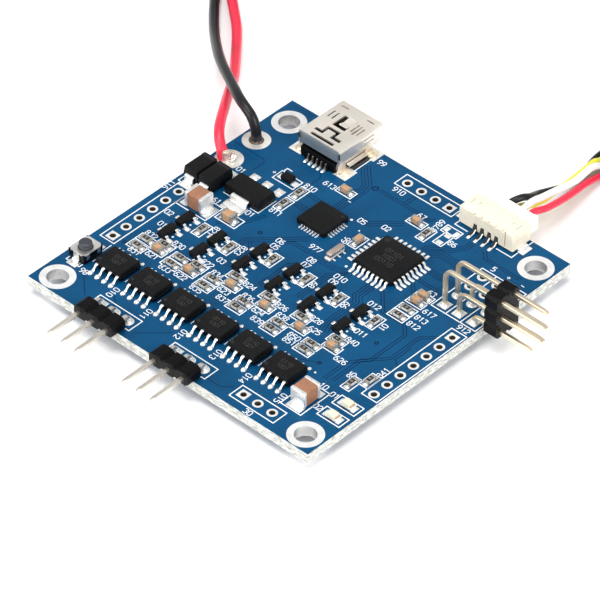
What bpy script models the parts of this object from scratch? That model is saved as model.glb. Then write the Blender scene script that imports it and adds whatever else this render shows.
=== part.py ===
"""Bare two-channel brushless motor controller board.

Row frame: metres, +Z up. The origin is on the underside of the board, at the centre of the square of
four mounting holes. +X runs along the edge that carries the two motor headers, +Y runs from that edge
towards the USB socket. Sizes below are in millimetres and are turned into metres as the meshes are made.
"""

import math

import bmesh
import bpy
from mathutils import Matrix, Vector

MM = 0.001

# The board
BOARD_LEFT, BOARD_RIGHT = -25.5, 25.3
BOARD_FRONT, BOARD_BACK = -25.1, 26.35
TOP = 1.6  # board thickness, so also the height of its top face
MOUNT_HALF = 22.5  # half of the 45 mm between mounting holes
MOUNT_HOLE_R = 1.6
SEAT = 0.05  # gap between a part and what it sits on

# Pin headers on the 2.54 mm grid
PITCH = 2.54
PIN_SIDE = 0.64
PIN_HOLE_R = 0.5
PIN_TAIL = 1.3  # how far pins stand below the board: the board rests on them
FLOOR = -PIN_TAIL
CELL_CHAMFER = 0.45

MOTOR_X = (-11.9, 1.87)  # middle pin of each motor header
MOTOR_Y = -22.5
MOTOR_BLOCK = (7.1, 2.05)  # along X, up
MOTOR_BLOCK_Y = (-26.5, -24.0)
MOTOR_PIN_Z = TOP + SEAT + MOTOR_BLOCK[1] / 2  # the block stands on the board
MOTOR_TIP_Y = -32.5

SERVO_X, SERVO_Y = 18.62, 8.62  # first hole of the 3 by 4 grid
SERVO_ROWS = 4
SERVO_FILLED = 2
SERVO_PIN_Z = (TOP + 6.18, TOP + 3.64, TOP + 1.1)
SERVO_TIP_X = ((36.0, 35.5, 33.8), (34.2, 34.2, 33.8))
SERVO_BLOCK = (4.55, 6.8)  # along Y, up
SERVO_BLOCK_X = (26.2, 28.4)

# Empty rows of pin holes: first hole, step, count
EMPTY_ROWS = (
    ((-23.13, -11.45), (0.0, PITCH), 6),
    ((23.72, 4.38), (0.0, -PITCH), 7),
    ((11.5, -22.46), (PITCH, 0.0), 3),
    ((-1.77, 23.9), (PITCH, 0.0), 4),
)

# Chips and other parts soldered to the top face
BRIDGE_FIRST = (-17.95, -15.75)
BRIDGE_STEP = 6.07
BRIDGE_COUNT = 6
TRANSISTOR_X = (-18.05, -12.15, -6.2, -0.2, 5.75, 11.9)
TRANSISTOR_Y = ((-2.71, -6.12), (-2.71, -6.12), (-0.64, -4.16), (-0.64, -4.16), (-0.64, -4.16), (-0.64, -4.16))
CONTROLLER_AT = (7.7, 9.7)
USB_CHIP_AT = (-4.65, 10.0)
REGULATOR_AT = (-15.4, 7.1)
DIODES_AT = ((-23.4, 5.9), (-20.65, 5.9))
LEDS_AT = ((22.75, -14.75), (22.8, -17.65))
INPUT_CAPACITOR_AT = (-19.0, 0.95)
BRIDGE_CAPACITOR_AT = (17.9, -17.6)

# USB socket, open towards +Y
USB_X = -13.5
USB_Y = (18.6, 27.75)
USB_HALF_WIDTH = 3.85
USB_HEIGHT = 3.95
USB_SHEET = 0.3

# Push button
BUTTON_AT = (-23.0, -16.7)
BUTTON_SIZE = (2.9, 3.5)
BUTTON_BASE_TOP = 1.25
BUTTON_COVER = (1.28, 1.48)
BUTTON_TOP = 2.3
PLUNGER_R = 0.95
PLUNGER_FLANGE_R = 1.15
PLUNGER_FLANGE = (0.8, 1.2)
CAVITY_R = 1.3
CAVITY_FLOOR = 0.4
DOME_TOP = 0.76
DOME_R = 1.1

# Sensor socket and plug, on a 1.25 mm pitch
SENSOR_X = 13.55
SENSOR_PITCH = 1.25
SENSOR_PINS = 4
SOCKET_HALF = 4.8
SOCKET_Y = (22.5, 26.3)
SOCKET_Z = (TOP + SEAT, TOP + 3.05)
SOCKET_WALL = 0.65
SOCKET_BACK_WALL = 1.4
PLUG_CLEARANCE = 0.1
PLUG_REAR_Y = 28.4

# Power wires: two single leads that end in one plug
POWER_BLACK_AT = (-23.1, 16.55)
POWER_RED_AT = (-23.0, 11.0)
POWER_HOLE_R = 0.6
POWER_WIRE_R = 0.75
BLACK_ROUTE = (
    (-23.1, 16.5, 2.2),
    (-23.15, 16.45, 3.6),
    (-24.1, 16.6, 5.3),
    (-26.9, 17.4, 6.1),
    (-31.4, 20.2, 5.2),
    (-37.8, 24.7, 3.2),
    (-44.6, 30.7, 0.6),
    (-50.3, 36.6, -0.55),
    (-54.8, 42.1, -0.55),
)
RED_ROUTE = (
    (-23.9, 10.65, 2.65),
    (-25.0, 11.2, 3.7),
    (-26.6, 12.9, 4.3),
    (-29.2, 16.5, 3.8),
    (-32.5, 21.0, 2.4),
    (-35.6, 25.2, 0.9),
    (-39.1, 29.2, -0.2),
    (-44.1, 34.7, -0.55),
    (-48.6, 38.6, -0.55),
    (-52.4, 41.9, -0.55),
)
POWER_COIL_AT = (-52.56, 51.86)
POWER_COIL_R = 7.5  # to the middle of the pair of wires
POWER_COIL_LAYERS = 3
POWER_PLUG_SIZE = (10.5, 6.0, 4.2)

# Sensor lead: four thin wires that run as one bundle
SENSOR_WIRE_R = 0.5
BUNDLE_R = 1.15
SENSOR_ROUTE = (
    (13.65, 28.7, 3.0),
    (13.9, 30.8, 2.9),
    (14.0, 34.0, 2.2),
    (13.9, 37.5, 1.2),
    (13.5, 42.0, 0.3),
    (13.05, 46.2, -0.15),
    (13.1, 48.2, -0.15),
)
SENSOR_COIL_AT = (20.6, 55.6)
SENSOR_COIL_R = 7.5
SENSOR_COIL_LAYERS = 4
LEAD_PLUG_SIZE = (6.0, 7.5, 3.2)


# ---------------------------------------------------------------- materials

def material(name, colour, roughness, metallic=0.0):
    made = bpy.data.materials.new(name)
    made.use_nodes = True
    shader = made.node_tree.nodes["Principled BSDF"]
    shader.inputs["Base Color"].default_value = (*colour, 1.0)
    shader.inputs["Roughness"].default_value = roughness
    shader.inputs["Metallic"].default_value = metallic
    made.diffuse_color = (*colour, 1.0)
    return made


# ---------------------------------------------------------------- meshes

def to_mesh(bm, name):
    """Turns a bmesh in millimetres into a mesh in metres, with its faces pointing out."""
    bmesh.ops.recalc_face_normals(bm, faces=bm.faces)
    bmesh.ops.scale(bm, vec=(MM, MM, MM), verts=bm.verts)
    mesh = bpy.data.meshes.new(name)
    bm.to_mesh(mesh)
    bm.free()
    return mesh


def loft(rings, name="loft"):
    """A closed solid through rings that have the same number of points, capped at both ends."""
    bm = bmesh.new()
    rows = [[bm.verts.new(point) for point in ring] for ring in rings]
    for lower, upper in zip(rows, rows[1:]):
        for i in range(len(lower)):
            j = (i + 1) % len(lower)
            bm.faces.new((lower[i], lower[j], upper[j], upper[i]))
    bm.faces.new(rows[0])
    bm.faces.new(rows[-1])
    return to_mesh(bm, name)


def rectangle(width, depth, z, chamfer):
    """Eight points of a rectangle with chamfered corners, centred on the Z axis."""
    x, y, c = width / 2, depth / 2, chamfer
    return [
        (x - c, -y, z), (x, -y + c, z), (x, y - c, z), (x - c, y, z),
        (-x + c, y, z), (-x, y - c, z), (-x, -y + c, z), (-x + c, -y, z),
    ]


def body_block(width, depth, low, high, chamfer=0.12, draft=0.08):
    """A moulded chip body: a block that narrows a little towards both faces."""
    middle = (low + high) / 2
    return loft([
        rectangle(width - 2 * draft, depth - 2 * draft, low, chamfer),
        rectangle(width, depth, middle, chamfer),
        rectangle(width - 2 * draft, depth - 2 * draft, high, chamfer),
    ])


def box(size, low_corner):
    (w, d, h), (x, y, z) = size, low_corner
    corners = [(x, y), (x + w, y), (x + w, y + d), (x, y + d)]
    return loft([[(px, py, pz) for px, py in corners] for pz in (z, z + h)])


def strip(points, thick, width):
    """A bent metal strip. points is its centreline in the YZ plane, and its width lies along X."""
    line = [Vector(p) for p in points]
    sides = []
    for i, point in enumerate(line):
        before = (point - line[i - 1]).normalized() if i else (line[1] - point).normalized()
        after = (line[i + 1] - point).normalized() if i + 1 < len(line) else before
        across = (before + after).normalized()
        reach = thick / 2 / max(across.dot(before), 0.5)
        normal = Vector((-across.y, across.x)) * reach
        sides.append((point + normal, point - normal))
    rings = []
    for upper, lower in sides:
        rings.append([
            (-width / 2, *lower), (width / 2, *lower), (width / 2, *upper), (-width / 2, *upper),
        ])
    return loft(rings)


def turned(profile, segments, name="turned"):
    """A solid turned about Z from (radius, height) pairs. It starts and ends on the axis."""
    bm = bmesh.new()
    rows = []
    for radius, z in profile:
        if radius == 0:
            rows.append([bm.verts.new((0, 0, z))])
        else:
            angles = [2 * math.pi * i / segments for i in range(segments)]
            rows.append([bm.verts.new((radius * math.cos(a), radius * math.sin(a), z)) for a in angles])
    for lower, upper in zip(rows, rows[1:]):
        for i in range(segments):
            j = (i + 1) % segments
            if len(lower) == 1:
                bm.faces.new((lower[0], upper[j], upper[i]))
            elif len(upper) == 1:
                bm.faces.new((lower[i], lower[j], upper[0]))
            else:
                bm.faces.new((lower[i], lower[j], upper[j], upper[i]))
    return to_mesh(bm, name)


def turned_ring(section, segments, name="ring"):
    """A ring turned about Z from a closed section of (radius, height) pairs."""
    bm = bmesh.new()
    rows = []
    for i in range(segments):
        angle = 2 * math.pi * i / segments
        rows.append([bm.verts.new((r * math.cos(angle), r * math.sin(angle), z)) for r, z in section])
    for i, row in enumerate(rows):
        following = rows[(i + 1) % segments]
        for j in range(len(section)):
            k = (j + 1) % len(section)
            bm.faces.new((row[j], following[j], following[k], row[k]))
    return to_mesh(bm, name)


def bent_pin(start, corner, end, radius, steps=4, point=0.5):
    """A square pin along start, corner and end, with a rounded bend and pointed ends."""
    start, corner, end = Vector(start), Vector(corner), Vector(end)
    first, last = (corner - start).normalized(), (end - corner).normalized()
    side = first.cross(last).normalized()
    centre = corner - first * radius + last * radius
    path = [(start, first, 0.55), (start + first * point, first, 1.0)]
    for i in range(steps + 1):
        angle = math.pi / 2 * i / steps
        spot = centre - last * radius * math.cos(angle) + first * radius * math.sin(angle)
        path.append((spot, first * math.cos(angle) + last * math.sin(angle), 1.0))
    path.append((end - last * point, last, 1.0))
    path.append((end, last, 0.45))
    rings = []
    for spot, along, share in path:
        half = PIN_SIDE / 2 * share
        up = along.cross(side).normalized()
        rings.append([
            spot + side * half * a + up * half * b for a, b in ((1, 1), (-1, 1), (-1, -1), (1, -1))
        ])
    return loft(rings)


# ---------------------------------------------------------------- objects

def add(name, data, finish, at=(0, 0, 0), rotation=(0, 0, 0), parent=None):
    """Puts a mesh or curve in the scene as one named piece, placed by its location and rotation."""
    made = bpy.data.objects.new(name, data)
    bpy.context.scene.collection.objects.link(made)
    if not data.materials:
        data.materials.append(finish)
    made.location = Vector(at) * MM
    made.rotation_euler = rotation
    made.parent = parent
    return made


def copy_at(mesh, at=(0, 0, 0), turn=0.0):
    """A copy of a mesh, turned about Z and then moved, in millimetres."""
    made = mesh.copy()
    made.transform(Matrix.Translation(Vector(at) * MM) @ Matrix.Rotation(turn, 4, "Z"))
    return made


def fused(first, others):
    """One mesh made of several overlapping ones by Boolean unions."""
    scene = bpy.context.scene.collection
    base = bpy.data.objects.new("fused", first)
    scene.objects.link(base)
    helpers = []
    for mesh in others:
        helper = bpy.data.objects.new("helper", mesh)
        scene.objects.link(helper)
        helpers.append(helper)
        union = base.modifiers.new("union", "BOOLEAN")
        union.operation = "UNION"
        union.object = helper
    bpy.context.view_layer.update()
    graph = bpy.context.evaluated_depsgraph_get()
    result = bpy.data.meshes.new_from_object(base.evaluated_get(graph))
    for used in helpers + [base]:
        bpy.data.objects.remove(used)
    return result


def plate(name, outline, holes, thick):
    """A flat plate with holes, as a filled and extruded 2D curve about z = 0."""
    curve = bpy.data.curves.new(name, "CURVE")
    curve.dimensions = "2D"
    curve.fill_mode = "BOTH"
    curve.extrude = thick / 2 * MM
    for loop in [outline] + holes:
        spline = curve.splines.new("POLY")
        spline.points.add(len(loop) - 1)
        for target, (x, y) in zip(spline.points, loop):
            target.co = (x * MM, y * MM, 0, 1)
        spline.use_cyclic_u = True
    return curve


def circle(centre, radius, segments):
    x, y = centre
    angles = [2 * math.pi * i / segments for i in range(segments)]
    return [(x + radius * math.cos(a), y + radius * math.sin(a)) for a in angles]


def square(centre, half):
    x, y = centre
    return [(x - half, y - half), (x + half, y - half), (x + half, y + half), (x - half, y + half)]


def smooth_route(points, spacing):
    """Points at an even spacing on a smooth curve (Catmull-Rom) through the route's own points."""
    route = [Vector(p) for p in points]
    ends = [2 * route[0] - route[1]] + route + [2 * route[-1] - route[-2]]
    fine = []
    for a, b, c, d in zip(ends, ends[1:], ends[2:], ends[3:]):
        for step in range(24):
            t = step / 24
            fine.append(0.5 * (2 * b + (c - a) * t + (2 * a - 5 * b + 4 * c - d) * t * t
                               + (3 * b - a - 3 * c + d) * t ** 3))
    fine.append(route[-1])
    reach = [0.0]
    for a, b in zip(fine, fine[1:]):
        reach.append(reach[-1] + (b - a).length)
    count = max(2, round(reach[-1] / spacing))
    picked, at = [], 0
    for i in range(count + 1):
        want = reach[-1] * i / count
        while at + 2 < len(fine) and reach[at + 1] < want:
            at += 1
        share = (want - reach[at]) / max(reach[at + 1] - reach[at], 1e-9)
        picked.append(fine[at].lerp(fine[at + 1], min(share, 1.0)))
    return picked


def tube(name, points, radius):
    curve = bpy.data.curves.new(name, "CURVE")
    curve.dimensions = "3D"
    curve.bevel_depth = radius * MM
    curve.bevel_resolution = 2
    curve.use_fill_caps = True
    spline = curve.splines.new("POLY")
    spline.points.add(len(points) - 1)
    for target, point in zip(spline.points, points):
        target.co = (*(point * MM), 1)
    return curve


# ---------------------------------------------------------------- shapes of the parts

def header_outline(columns, rows, size):
    """Outline of a pin header block of the given size, with a notch between cells on every side."""
    c, p = CELL_CHAMFER, PITCH
    points = []
    corners = [((0, 0), (1, 0), columns), ((columns, 0), (0, 1), rows),
               ((columns, rows), (-1, 0), columns), ((0, rows), (0, -1), rows)]
    for (sx, sy), (dx, dy), count in corners:
        for i in range(count):
            for along in (c, p - c):
                points.append((sx * p + dx * (i * p + along), sy * p + dy * (i * p + along)))
            if i + 1 < count:
                inward = (-dy * c, dx * c)
                points.append((sx * p + dx * (i + 1) * p + inward[0], sy * p + dy * (i + 1) * p + inward[1]))
    wide, high = size[0] / columns / p, size[1] / rows / p
    return [((x - columns * p / 2) * wide, (y - rows * p / 2) * high) for x, y in points]


def header_block(name, columns, rows, size, thick):
    """A header block in its own XY plane, with a square hole for each pin."""
    holes = []
    for i in range(columns):
        for j in range(rows):
            centre = ((i - (columns - 1) / 2) * PITCH, (j - (rows - 1) / 2) * PITCH)
            holes.append(square(centre, PIN_SIDE / 2 + SEAT))
    return plate(name, header_outline(columns, rows, size), holes, thick)


def small_outline_chip():
    """Eight-lead chip: a 4.9 by 3.9 mm body with four leads on each long side."""
    leads = []
    for side in (1, -1):
        for i in range(4):
            lead = strip(((1.7, 0.75), (2.25, 0.75), (2.5, 0.12), (3.2, 0.12)), 0.2, 0.42)
            leads.append(copy_at(lead, (side * (i - 1.5) * 1.27, 0, 0), 0 if side > 0 else math.pi))
    return fused(body_block(4.9, 3.9, 0.12, 1.5), leads)


def small_transistor():
    """Three-lead transistor: two leads towards +X and one towards -X."""
    shape = ((0.5, 0.5), (0.82, 0.5), (0.95, 0.08), (1.25, 0.08))
    leads = []
    for y, turn in ((0.95, -math.pi / 2), (-0.95, -math.pi / 2), (0.0, math.pi / 2)):
        leads.append(copy_at(strip(shape, 0.13, 0.42), (0, y, 0), turn))
    return fused(body_block(1.3, 2.9, 0.06, 1.0), leads)


def quad_flat_chip():
    """32-lead chip, with eight leads on each side of a 7 mm square body."""
    shape = ((3.3, 0.6), (3.75, 0.6), (4.0, 0.09), (4.55, 0.09))
    leads = []
    for side in range(4):
        for i in range(8):
            turn = side * math.pi / 2
            offset = Matrix.Rotation(turn, 3, "Z") @ Vector(((i - 3.5) * 0.8, 0, 0))
            leads.append(copy_at(strip(shape, 0.14, 0.36), offset, turn))
    return fused(body_block(7.0, 7.0, 0.08, 1.1, chamfer=0.35), leads)


def regulator():
    """Voltage regulator: three leads towards +Y and one wide tab towards -Y."""
    shape = ((1.5, 0.8), (2.05, 0.8), (2.35, 0.14), (3.4, 0.14))
    leads = [copy_at(strip(shape, 0.25, 0.72), (i * 2.3, 0, 0)) for i in (-1, 0, 1)]
    leads.append(copy_at(strip(shape, 0.25, 3.0), (0, 0, 0), math.pi))
    return fused(body_block(6.5, 3.5, 0.06, 1.62), leads)


def power_diode():
    """Surface-mount power diode with a lead folded down at each end."""
    shape = ((1.9, 1.1), (2.4, 1.1), (2.48, 0.12), (2.95, 0.12))
    leads = [copy_at(strip(shape, 0.2, 1.5), (0, 0, 0), turn) for turn in (0, math.pi)]
    return fused(body_block(2.6, 4.3, 0.06, 2.25, draft=0.14), leads)


def stacked_blocks(steps):
    """Rectangles stacked along Z, each given as (width, depth, height)."""
    return loft([rectangle(width, depth, z, 0.06) for width, depth, z in steps])


def end_capped_block(length, width, height):
    """Ceramic capacitor: a block whose two metal ends stand a little proud. Its length lies along X."""
    cap, proud = 0.55, 0.05
    rings = []
    for x, grow in ((-length / 2, proud), (-length / 2 + cap, proud), (-length / 2 + cap, 0.0),
                    (length / 2 - cap, 0.0), (length / 2 - cap, proud), (length / 2, proud)):
        half, low, high = width / 2 + grow, proud - grow, height - proud + grow
        rings.append([(x, -half, low), (x, half, low), (x, half, high), (x, -half, high)])
    return loft(rings)


def usb_shell_mesh():
    """Folded sheet-metal shell: a tube along Y with a flap that half closes the end over the board."""
    half, high = USB_HALF_WIDTH, USB_HEIGHT
    length = USB_Y[1] - USB_Y[0]
    outline = [(-half + 0.75, 0.15), (half - 0.75, 0.15), (half - 0.55, 1.1), (half, 1.6), (half, high - 0.5),
               (half - 0.5, high), (-half + 0.5, high), (-half, high - 0.5), (-half, 1.6), (-half + 0.55, 1.1)]
    centre = Vector((0.0, high / 2 + 0.05))
    shrink = Vector((1 - USB_SHEET / half, 1 - USB_SHEET / (high / 2)))
    inner = [tuple(centre + Vector(((x - centre.x) * shrink.x, (z - centre.y) * shrink.y))) for x, z in outline]
    bm = bmesh.new()
    rows = []
    for loop, y in ((outline, 0.0), (outline, length), (inner, length), (inner, 0.0)):
        rows.append([bm.verts.new((x, y, z)) for x, z in loop])
    count = len(outline)
    for a, b in zip(rows, rows[1:] + rows[:1]):
        for i in range(count):
            j = (i + 1) % count
            bm.faces.new((a[i], a[j], b[j], b[i]))
    tube_mesh = to_mesh(bm, "usb_tube")
    flap = box((2 * half - 1.3, USB_SHEET, 1.95), (-half + 0.65, 0.02, high - 2.1))
    return fused(tube_mesh, [flap])


def usb_core_mesh():
    """Plastic block at the closed end, the tongue that carries the contacts, and five leads."""
    block = box((5.6, 2.6, 2.9), (-2.8, 0.45, 0.5))
    tongue = box((4.4, 5.4, 0.7), (-2.2, 2.9, 1.9))
    leads = []
    shape = ((0.8, 0.75), (-0.2, 0.75), (-0.45, 0.1), (-1.0, 0.1))
    for i in range(5):
        leads.append(copy_at(strip(shape, 0.16, 0.36), ((i - 2) * 0.8, 0, 0)))
    foot = box((4.6, 0.9, 0.55), (-2.3, -0.15, 0.5))
    return fused(block, [tongue, foot] + leads)


def sensor_socket_mesh():
    """Side-entry socket open towards +Y, with four leads that leave it towards -Y."""
    low, high = SOCKET_Z[0] - TOP, SOCKET_Z[1] - TOP
    length = SOCKET_Y[1] - SOCKET_Y[0]
    shell = box((2 * SOCKET_HALF, length, high - low), (-SOCKET_HALF, 0, low))
    cavity = bpy.data.objects.new("cavity", box(
        (2 * (SOCKET_HALF - SOCKET_WALL), length, high - low - 2 * 0.55),
        (-SOCKET_HALF + SOCKET_WALL, SOCKET_BACK_WALL, low + 0.55)))
    bpy.context.scene.collection.objects.link(cavity)
    base = bpy.data.objects.new("socket", shell)
    bpy.context.scene.collection.objects.link(base)
    cut = base.modifiers.new("cut", "BOOLEAN")
    cut.operation = "DIFFERENCE"
    cut.object = cavity
    bpy.context.view_layer.update()
    graph = bpy.context.evaluated_depsgraph_get()
    hollow = bpy.data.meshes.new_from_object(base.evaluated_get(graph))
    bpy.data.objects.remove(cavity)
    bpy.data.objects.remove(base)
    shape = ((0.4, 1.0), (-0.55, 1.0), (-0.9, 0.1), (-2.0, 0.1))
    leads = []
    for i in range(SENSOR_PINS):
        x = (i - (SENSOR_PINS - 1) / 2) * SENSOR_PITCH
        leads.append(copy_at(strip(shape, 0.18, 0.32), (x, 0, 0)))
    return fused(hollow, leads)


def sensor_plug_mesh():
    """Plug: a nose that fits in the socket and a larger grip behind it. Its origin is the socket's mouth."""
    half = SOCKET_HALF - SOCKET_WALL - PLUG_CLEARANCE
    nose_low, nose_high = 0.6 + PLUG_CLEARANCE, 2.5 - PLUG_CLEARANCE
    nose = box((2 * half, 2.3, nose_high - nose_low), (-half, -2.1, nose_low))
    grip = box((2 * half + 0.4, PLUG_REAR_Y - SOCKET_Y[1] - 0.15, 2.3), (-half - 0.2, 0.15, 0.4))
    return fused(nose, [grip])


def wire_joint_mesh():
    """Solder joint of a power wire: a cone under the board, a neck through it and a low bead on top."""
    return turned((
        (0.0, FLOOR), (0.35, FLOOR), (1.15, -SEAT), (POWER_HOLE_R - SEAT, -SEAT),
        (POWER_HOLE_R - SEAT, TOP + SEAT), (1.0, TOP + SEAT), (0.85, TOP + 0.16), (0.0, TOP + 0.2),
    ), 16)


def coil_ring(middle, half_width, height):
    """Outer shape of a coil of wire that lies on the floor level."""
    low, c = FLOOR, 0.5
    inner, outer = middle - half_width, middle + half_width
    return turned_ring((
        (inner + c, low), (outer - c, low), (outer, low + c), (outer, low + height - c),
        (outer - c, low + height), (inner + c, low + height), (inner, low + height - c), (inner, low + c),
    ), 32)


def plug_reach(middle, half_width, plug_width):
    """How far along the tangent a plug has to start to stay clear of the coil beside it."""
    outer = middle + half_width
    return math.sqrt(outer ** 2 - (middle - plug_width / 2) ** 2) + 0.2


def cable_plug_mesh(size):
    """Crimp housing on the far end of a lead. Its length lies along X, from its rear face at x = 0."""
    length, width, height = size
    lip = 0.35
    rings = []
    for x, grow in ((0, -lip), (0.6, 0), (length * 0.55, 0), (length * 0.55, -lip), (length, -lip)):
        half, high = width / 2 + grow, height + grow
        rings.append([(x, -half, 0), (x, half, 0), (x, half, high), (x, -half, high)])
    return loft(rings)


# ---------------------------------------------------------------- the assembly

def build_board(frame, finish):
    outline = [(BOARD_LEFT, BOARD_FRONT), (BOARD_RIGHT, BOARD_FRONT), (BOARD_RIGHT, BOARD_BACK),
               (BOARD_LEFT, BOARD_BACK)]
    holes = [circle((sx * MOUNT_HALF, sy * MOUNT_HALF), MOUNT_HOLE_R, 32) for sx in (-1, 1) for sy in (-1, 1)]
    for (x, y), (dx, dy), count in EMPTY_ROWS:
        holes += [circle((x + i * dx, y + i * dy), PIN_HOLE_R, 12) for i in range(count)]
    for middle in MOTOR_X:
        holes += [circle((middle + i * PITCH, MOTOR_Y), PIN_HOLE_R, 12) for i in (-1, 0, 1)]
    for column in range(len(SERVO_PIN_Z)):
        for row in range(SERVO_ROWS):
            holes.append(circle((SERVO_X + column * PITCH, SERVO_Y + row * PITCH), PIN_HOLE_R, 12))
    for centre in (POWER_BLACK_AT, POWER_RED_AT):
        holes.append(circle(centre, POWER_HOLE_R, 16))
    add("circuit_board", plate("circuit_board", outline, holes, TOP), finish["mask"], (0, 0, TOP / 2), parent=frame)


def build_chips(frame, finish):
    seat = TOP + SEAT
    bridge = small_outline_chip()
    for i in range(BRIDGE_COUNT):
        at = (BRIDGE_FIRST[0] + i * BRIDGE_STEP, BRIDGE_FIRST[1], seat)
        add(f"bridge_chip_{i + 1}", bridge, finish["moulding"], at, parent=frame)
    transistor = small_transistor()
    number = 0
    for x, ys in zip(TRANSISTOR_X, TRANSISTOR_Y):
        for y in ys:
            number += 1
            add(f"driver_transistor_{number}", transistor, finish["moulding"], (x, y, seat), parent=frame)
    add("controller_chip", quad_flat_chip(), finish["moulding"], (*CONTROLLER_AT, seat), parent=frame)
    usb_chip = body_block(5.0, 5.0, 0.0, 0.85, chamfer=0.2, draft=0.02)
    add("usb_bridge_chip", usb_chip, finish["moulding"], (*USB_CHIP_AT, seat), parent=frame)
    add("regulator_chip", regulator(), finish["moulding"], (*REGULATOR_AT, seat), parent=frame)
    diode = power_diode()
    for i, at in enumerate(DIODES_AT):
        add(f"input_diode_{i + 1}", diode, finish["moulding"], (*at, seat), parent=frame)


def build_passives(frame, finish):
    seat = TOP + SEAT
    led = stacked_blocks(((2.0, 1.25, 0.0), (2.0, 1.25, 0.35), (1.3, 1.2, 0.35), (1.15, 1.1, 0.8)))
    for i, at in enumerate(LEDS_AT):
        add(f"status_led_{i + 1}", led, finish["lens"], (*at, seat), parent=frame)
    block = end_capped_block(3.2, 2.4, 2.5)
    add("input_capacitor", block, finish["ceramic"], (*INPUT_CAPACITOR_AT, seat), parent=frame)
    add("bridge_capacitor", block, finish["ceramic"], (*BRIDGE_CAPACITOR_AT, seat), (0, 0, math.pi / 2), frame)


def build_motor_headers(frame, finish):
    thick = MOTOR_BLOCK_Y[1] - MOTOR_BLOCK_Y[0]
    block = header_block("motor_header", 3, 1, MOTOR_BLOCK, thick)
    middle_y = sum(MOTOR_BLOCK_Y) / 2
    pin = bent_pin((0, 0, FLOOR), (0, 0, MOTOR_PIN_Z), (0, MOTOR_TIP_Y - MOTOR_Y, MOTOR_PIN_Z), 0.7)
    for number, x in enumerate(MOTOR_X, 1):
        at = (x, middle_y, MOTOR_PIN_Z)
        add(f"motor_header_{number}_housing", block, finish["moulding"], at, (math.pi / 2, 0, 0), frame)
        for i in range(3):
            spot = (x + (i - 1) * PITCH, MOTOR_Y, 0)
            add(f"motor_header_{number}_pin_{i + 1}", pin, finish["gold"], spot, parent=frame)


def build_servo_header(frame, finish):
    thick = SERVO_BLOCK_X[1] - SERVO_BLOCK_X[0]
    block = header_block("servo_header", SERVO_FILLED, 3, SERVO_BLOCK, thick)
    at = (sum(SERVO_BLOCK_X) / 2, SERVO_Y + (SERVO_FILLED - 1) * PITCH / 2, SERVO_PIN_Z[1])
    add("servo_header_housing", block, finish["moulding"], at, (math.pi / 2, 0, math.pi / 2), frame)
    names = ("signal", "supply", "ground")
    for row in range(SERVO_FILLED):
        for column, name in enumerate(names):
            x, z = SERVO_X + column * PITCH, SERVO_PIN_Z[column]
            reach = SERVO_TIP_X[row][column] - x
            pin = bent_pin((0, 0, FLOOR), (0, 0, z), (reach, 0, z), 0.8)
            spot = (x, SERVO_Y + row * PITCH, 0)
            add(f"servo_{name}_pin_{row + 1}", pin, finish["gold"], spot, parent=frame)


def build_usb_socket(frame, finish):
    at = (USB_X, USB_Y[0], TOP + SEAT)
    add("usb_shell", usb_shell_mesh(), finish["steel"], at, parent=frame)
    add("usb_core", usb_core_mesh(), finish["moulding"], at, parent=frame)


def build_button(frame, finish):
    x, y = BUTTON_AT
    width, depth = BUTTON_SIZE
    base = fused(turned_ring((
        (CAVITY_R, CAVITY_FLOOR - 0.2), (1.44, CAVITY_FLOOR - 0.2), (1.44, BUTTON_BASE_TOP),
        (CAVITY_R, BUTTON_BASE_TOP),
    ), 24), [box((width, depth, CAVITY_FLOOR), (-width / 2, -depth / 2, 0.0))]
        + [box((width, 0.4, BUTTON_BASE_TOP), (-width / 2, side, 0.0)) for side in (-depth / 2, depth / 2 - 0.4)])
    add("button_base", base, finish["moulding"], (x, y, TOP + SEAT), parent=frame)
    half_w, half_d = width / 2 + 0.05, depth / 2 + 0.05
    cover = plate("button_cover", [(-half_w, -half_d), (half_w, -half_d), (half_w, half_d), (-half_w, half_d)],
                  [circle((0, 0), PLUNGER_R + 0.08, 24)], BUTTON_COVER[1] - BUTTON_COVER[0])
    add("button_cover", cover, finish["steel"], (x, y, TOP + SEAT + sum(BUTTON_COVER) / 2), parent=frame)
    low, high = PLUNGER_FLANGE
    plunger = turned(((0.0, low), (PLUNGER_FLANGE_R, low), (PLUNGER_FLANGE_R, high), (PLUNGER_R, high),
                      (PLUNGER_R, BUTTON_TOP - 0.15), (PLUNGER_R - 0.15, BUTTON_TOP), (0.0, BUTTON_TOP)), 24)
    add("button_plunger", plunger, finish["plunger"], (x, y, TOP + SEAT), parent=frame)
    skin, steps = 0.06, 4
    low = CAVITY_FLOOR + 0.02
    arch = [(DOME_R * math.cos(math.pi / 2 * i / steps), low + (DOME_TOP - low) * math.sin(math.pi / 2 * i / steps))
            for i in range(steps)]
    outer = arch + [(0.0, DOME_TOP)]
    inner = [(0.0, DOME_TOP - skin)] + [(max(r - skin, 0.05), max(z - skin, low)) for r, z in reversed(arch)]
    add("button_dome", turned(tuple(inner + outer), 24), finish["steel"], (x, y, TOP + SEAT), parent=frame)


def build_sensor_socket(frame, finish):
    add("sensor_socket", sensor_socket_mesh(), finish["nylon"], (SENSOR_X, SOCKET_Y[0], TOP), parent=frame)
    add("sensor_plug", sensor_plug_mesh(), finish["nylon"], (SENSOR_X, SOCKET_Y[1], TOP + SEAT), parent=frame)


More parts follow.
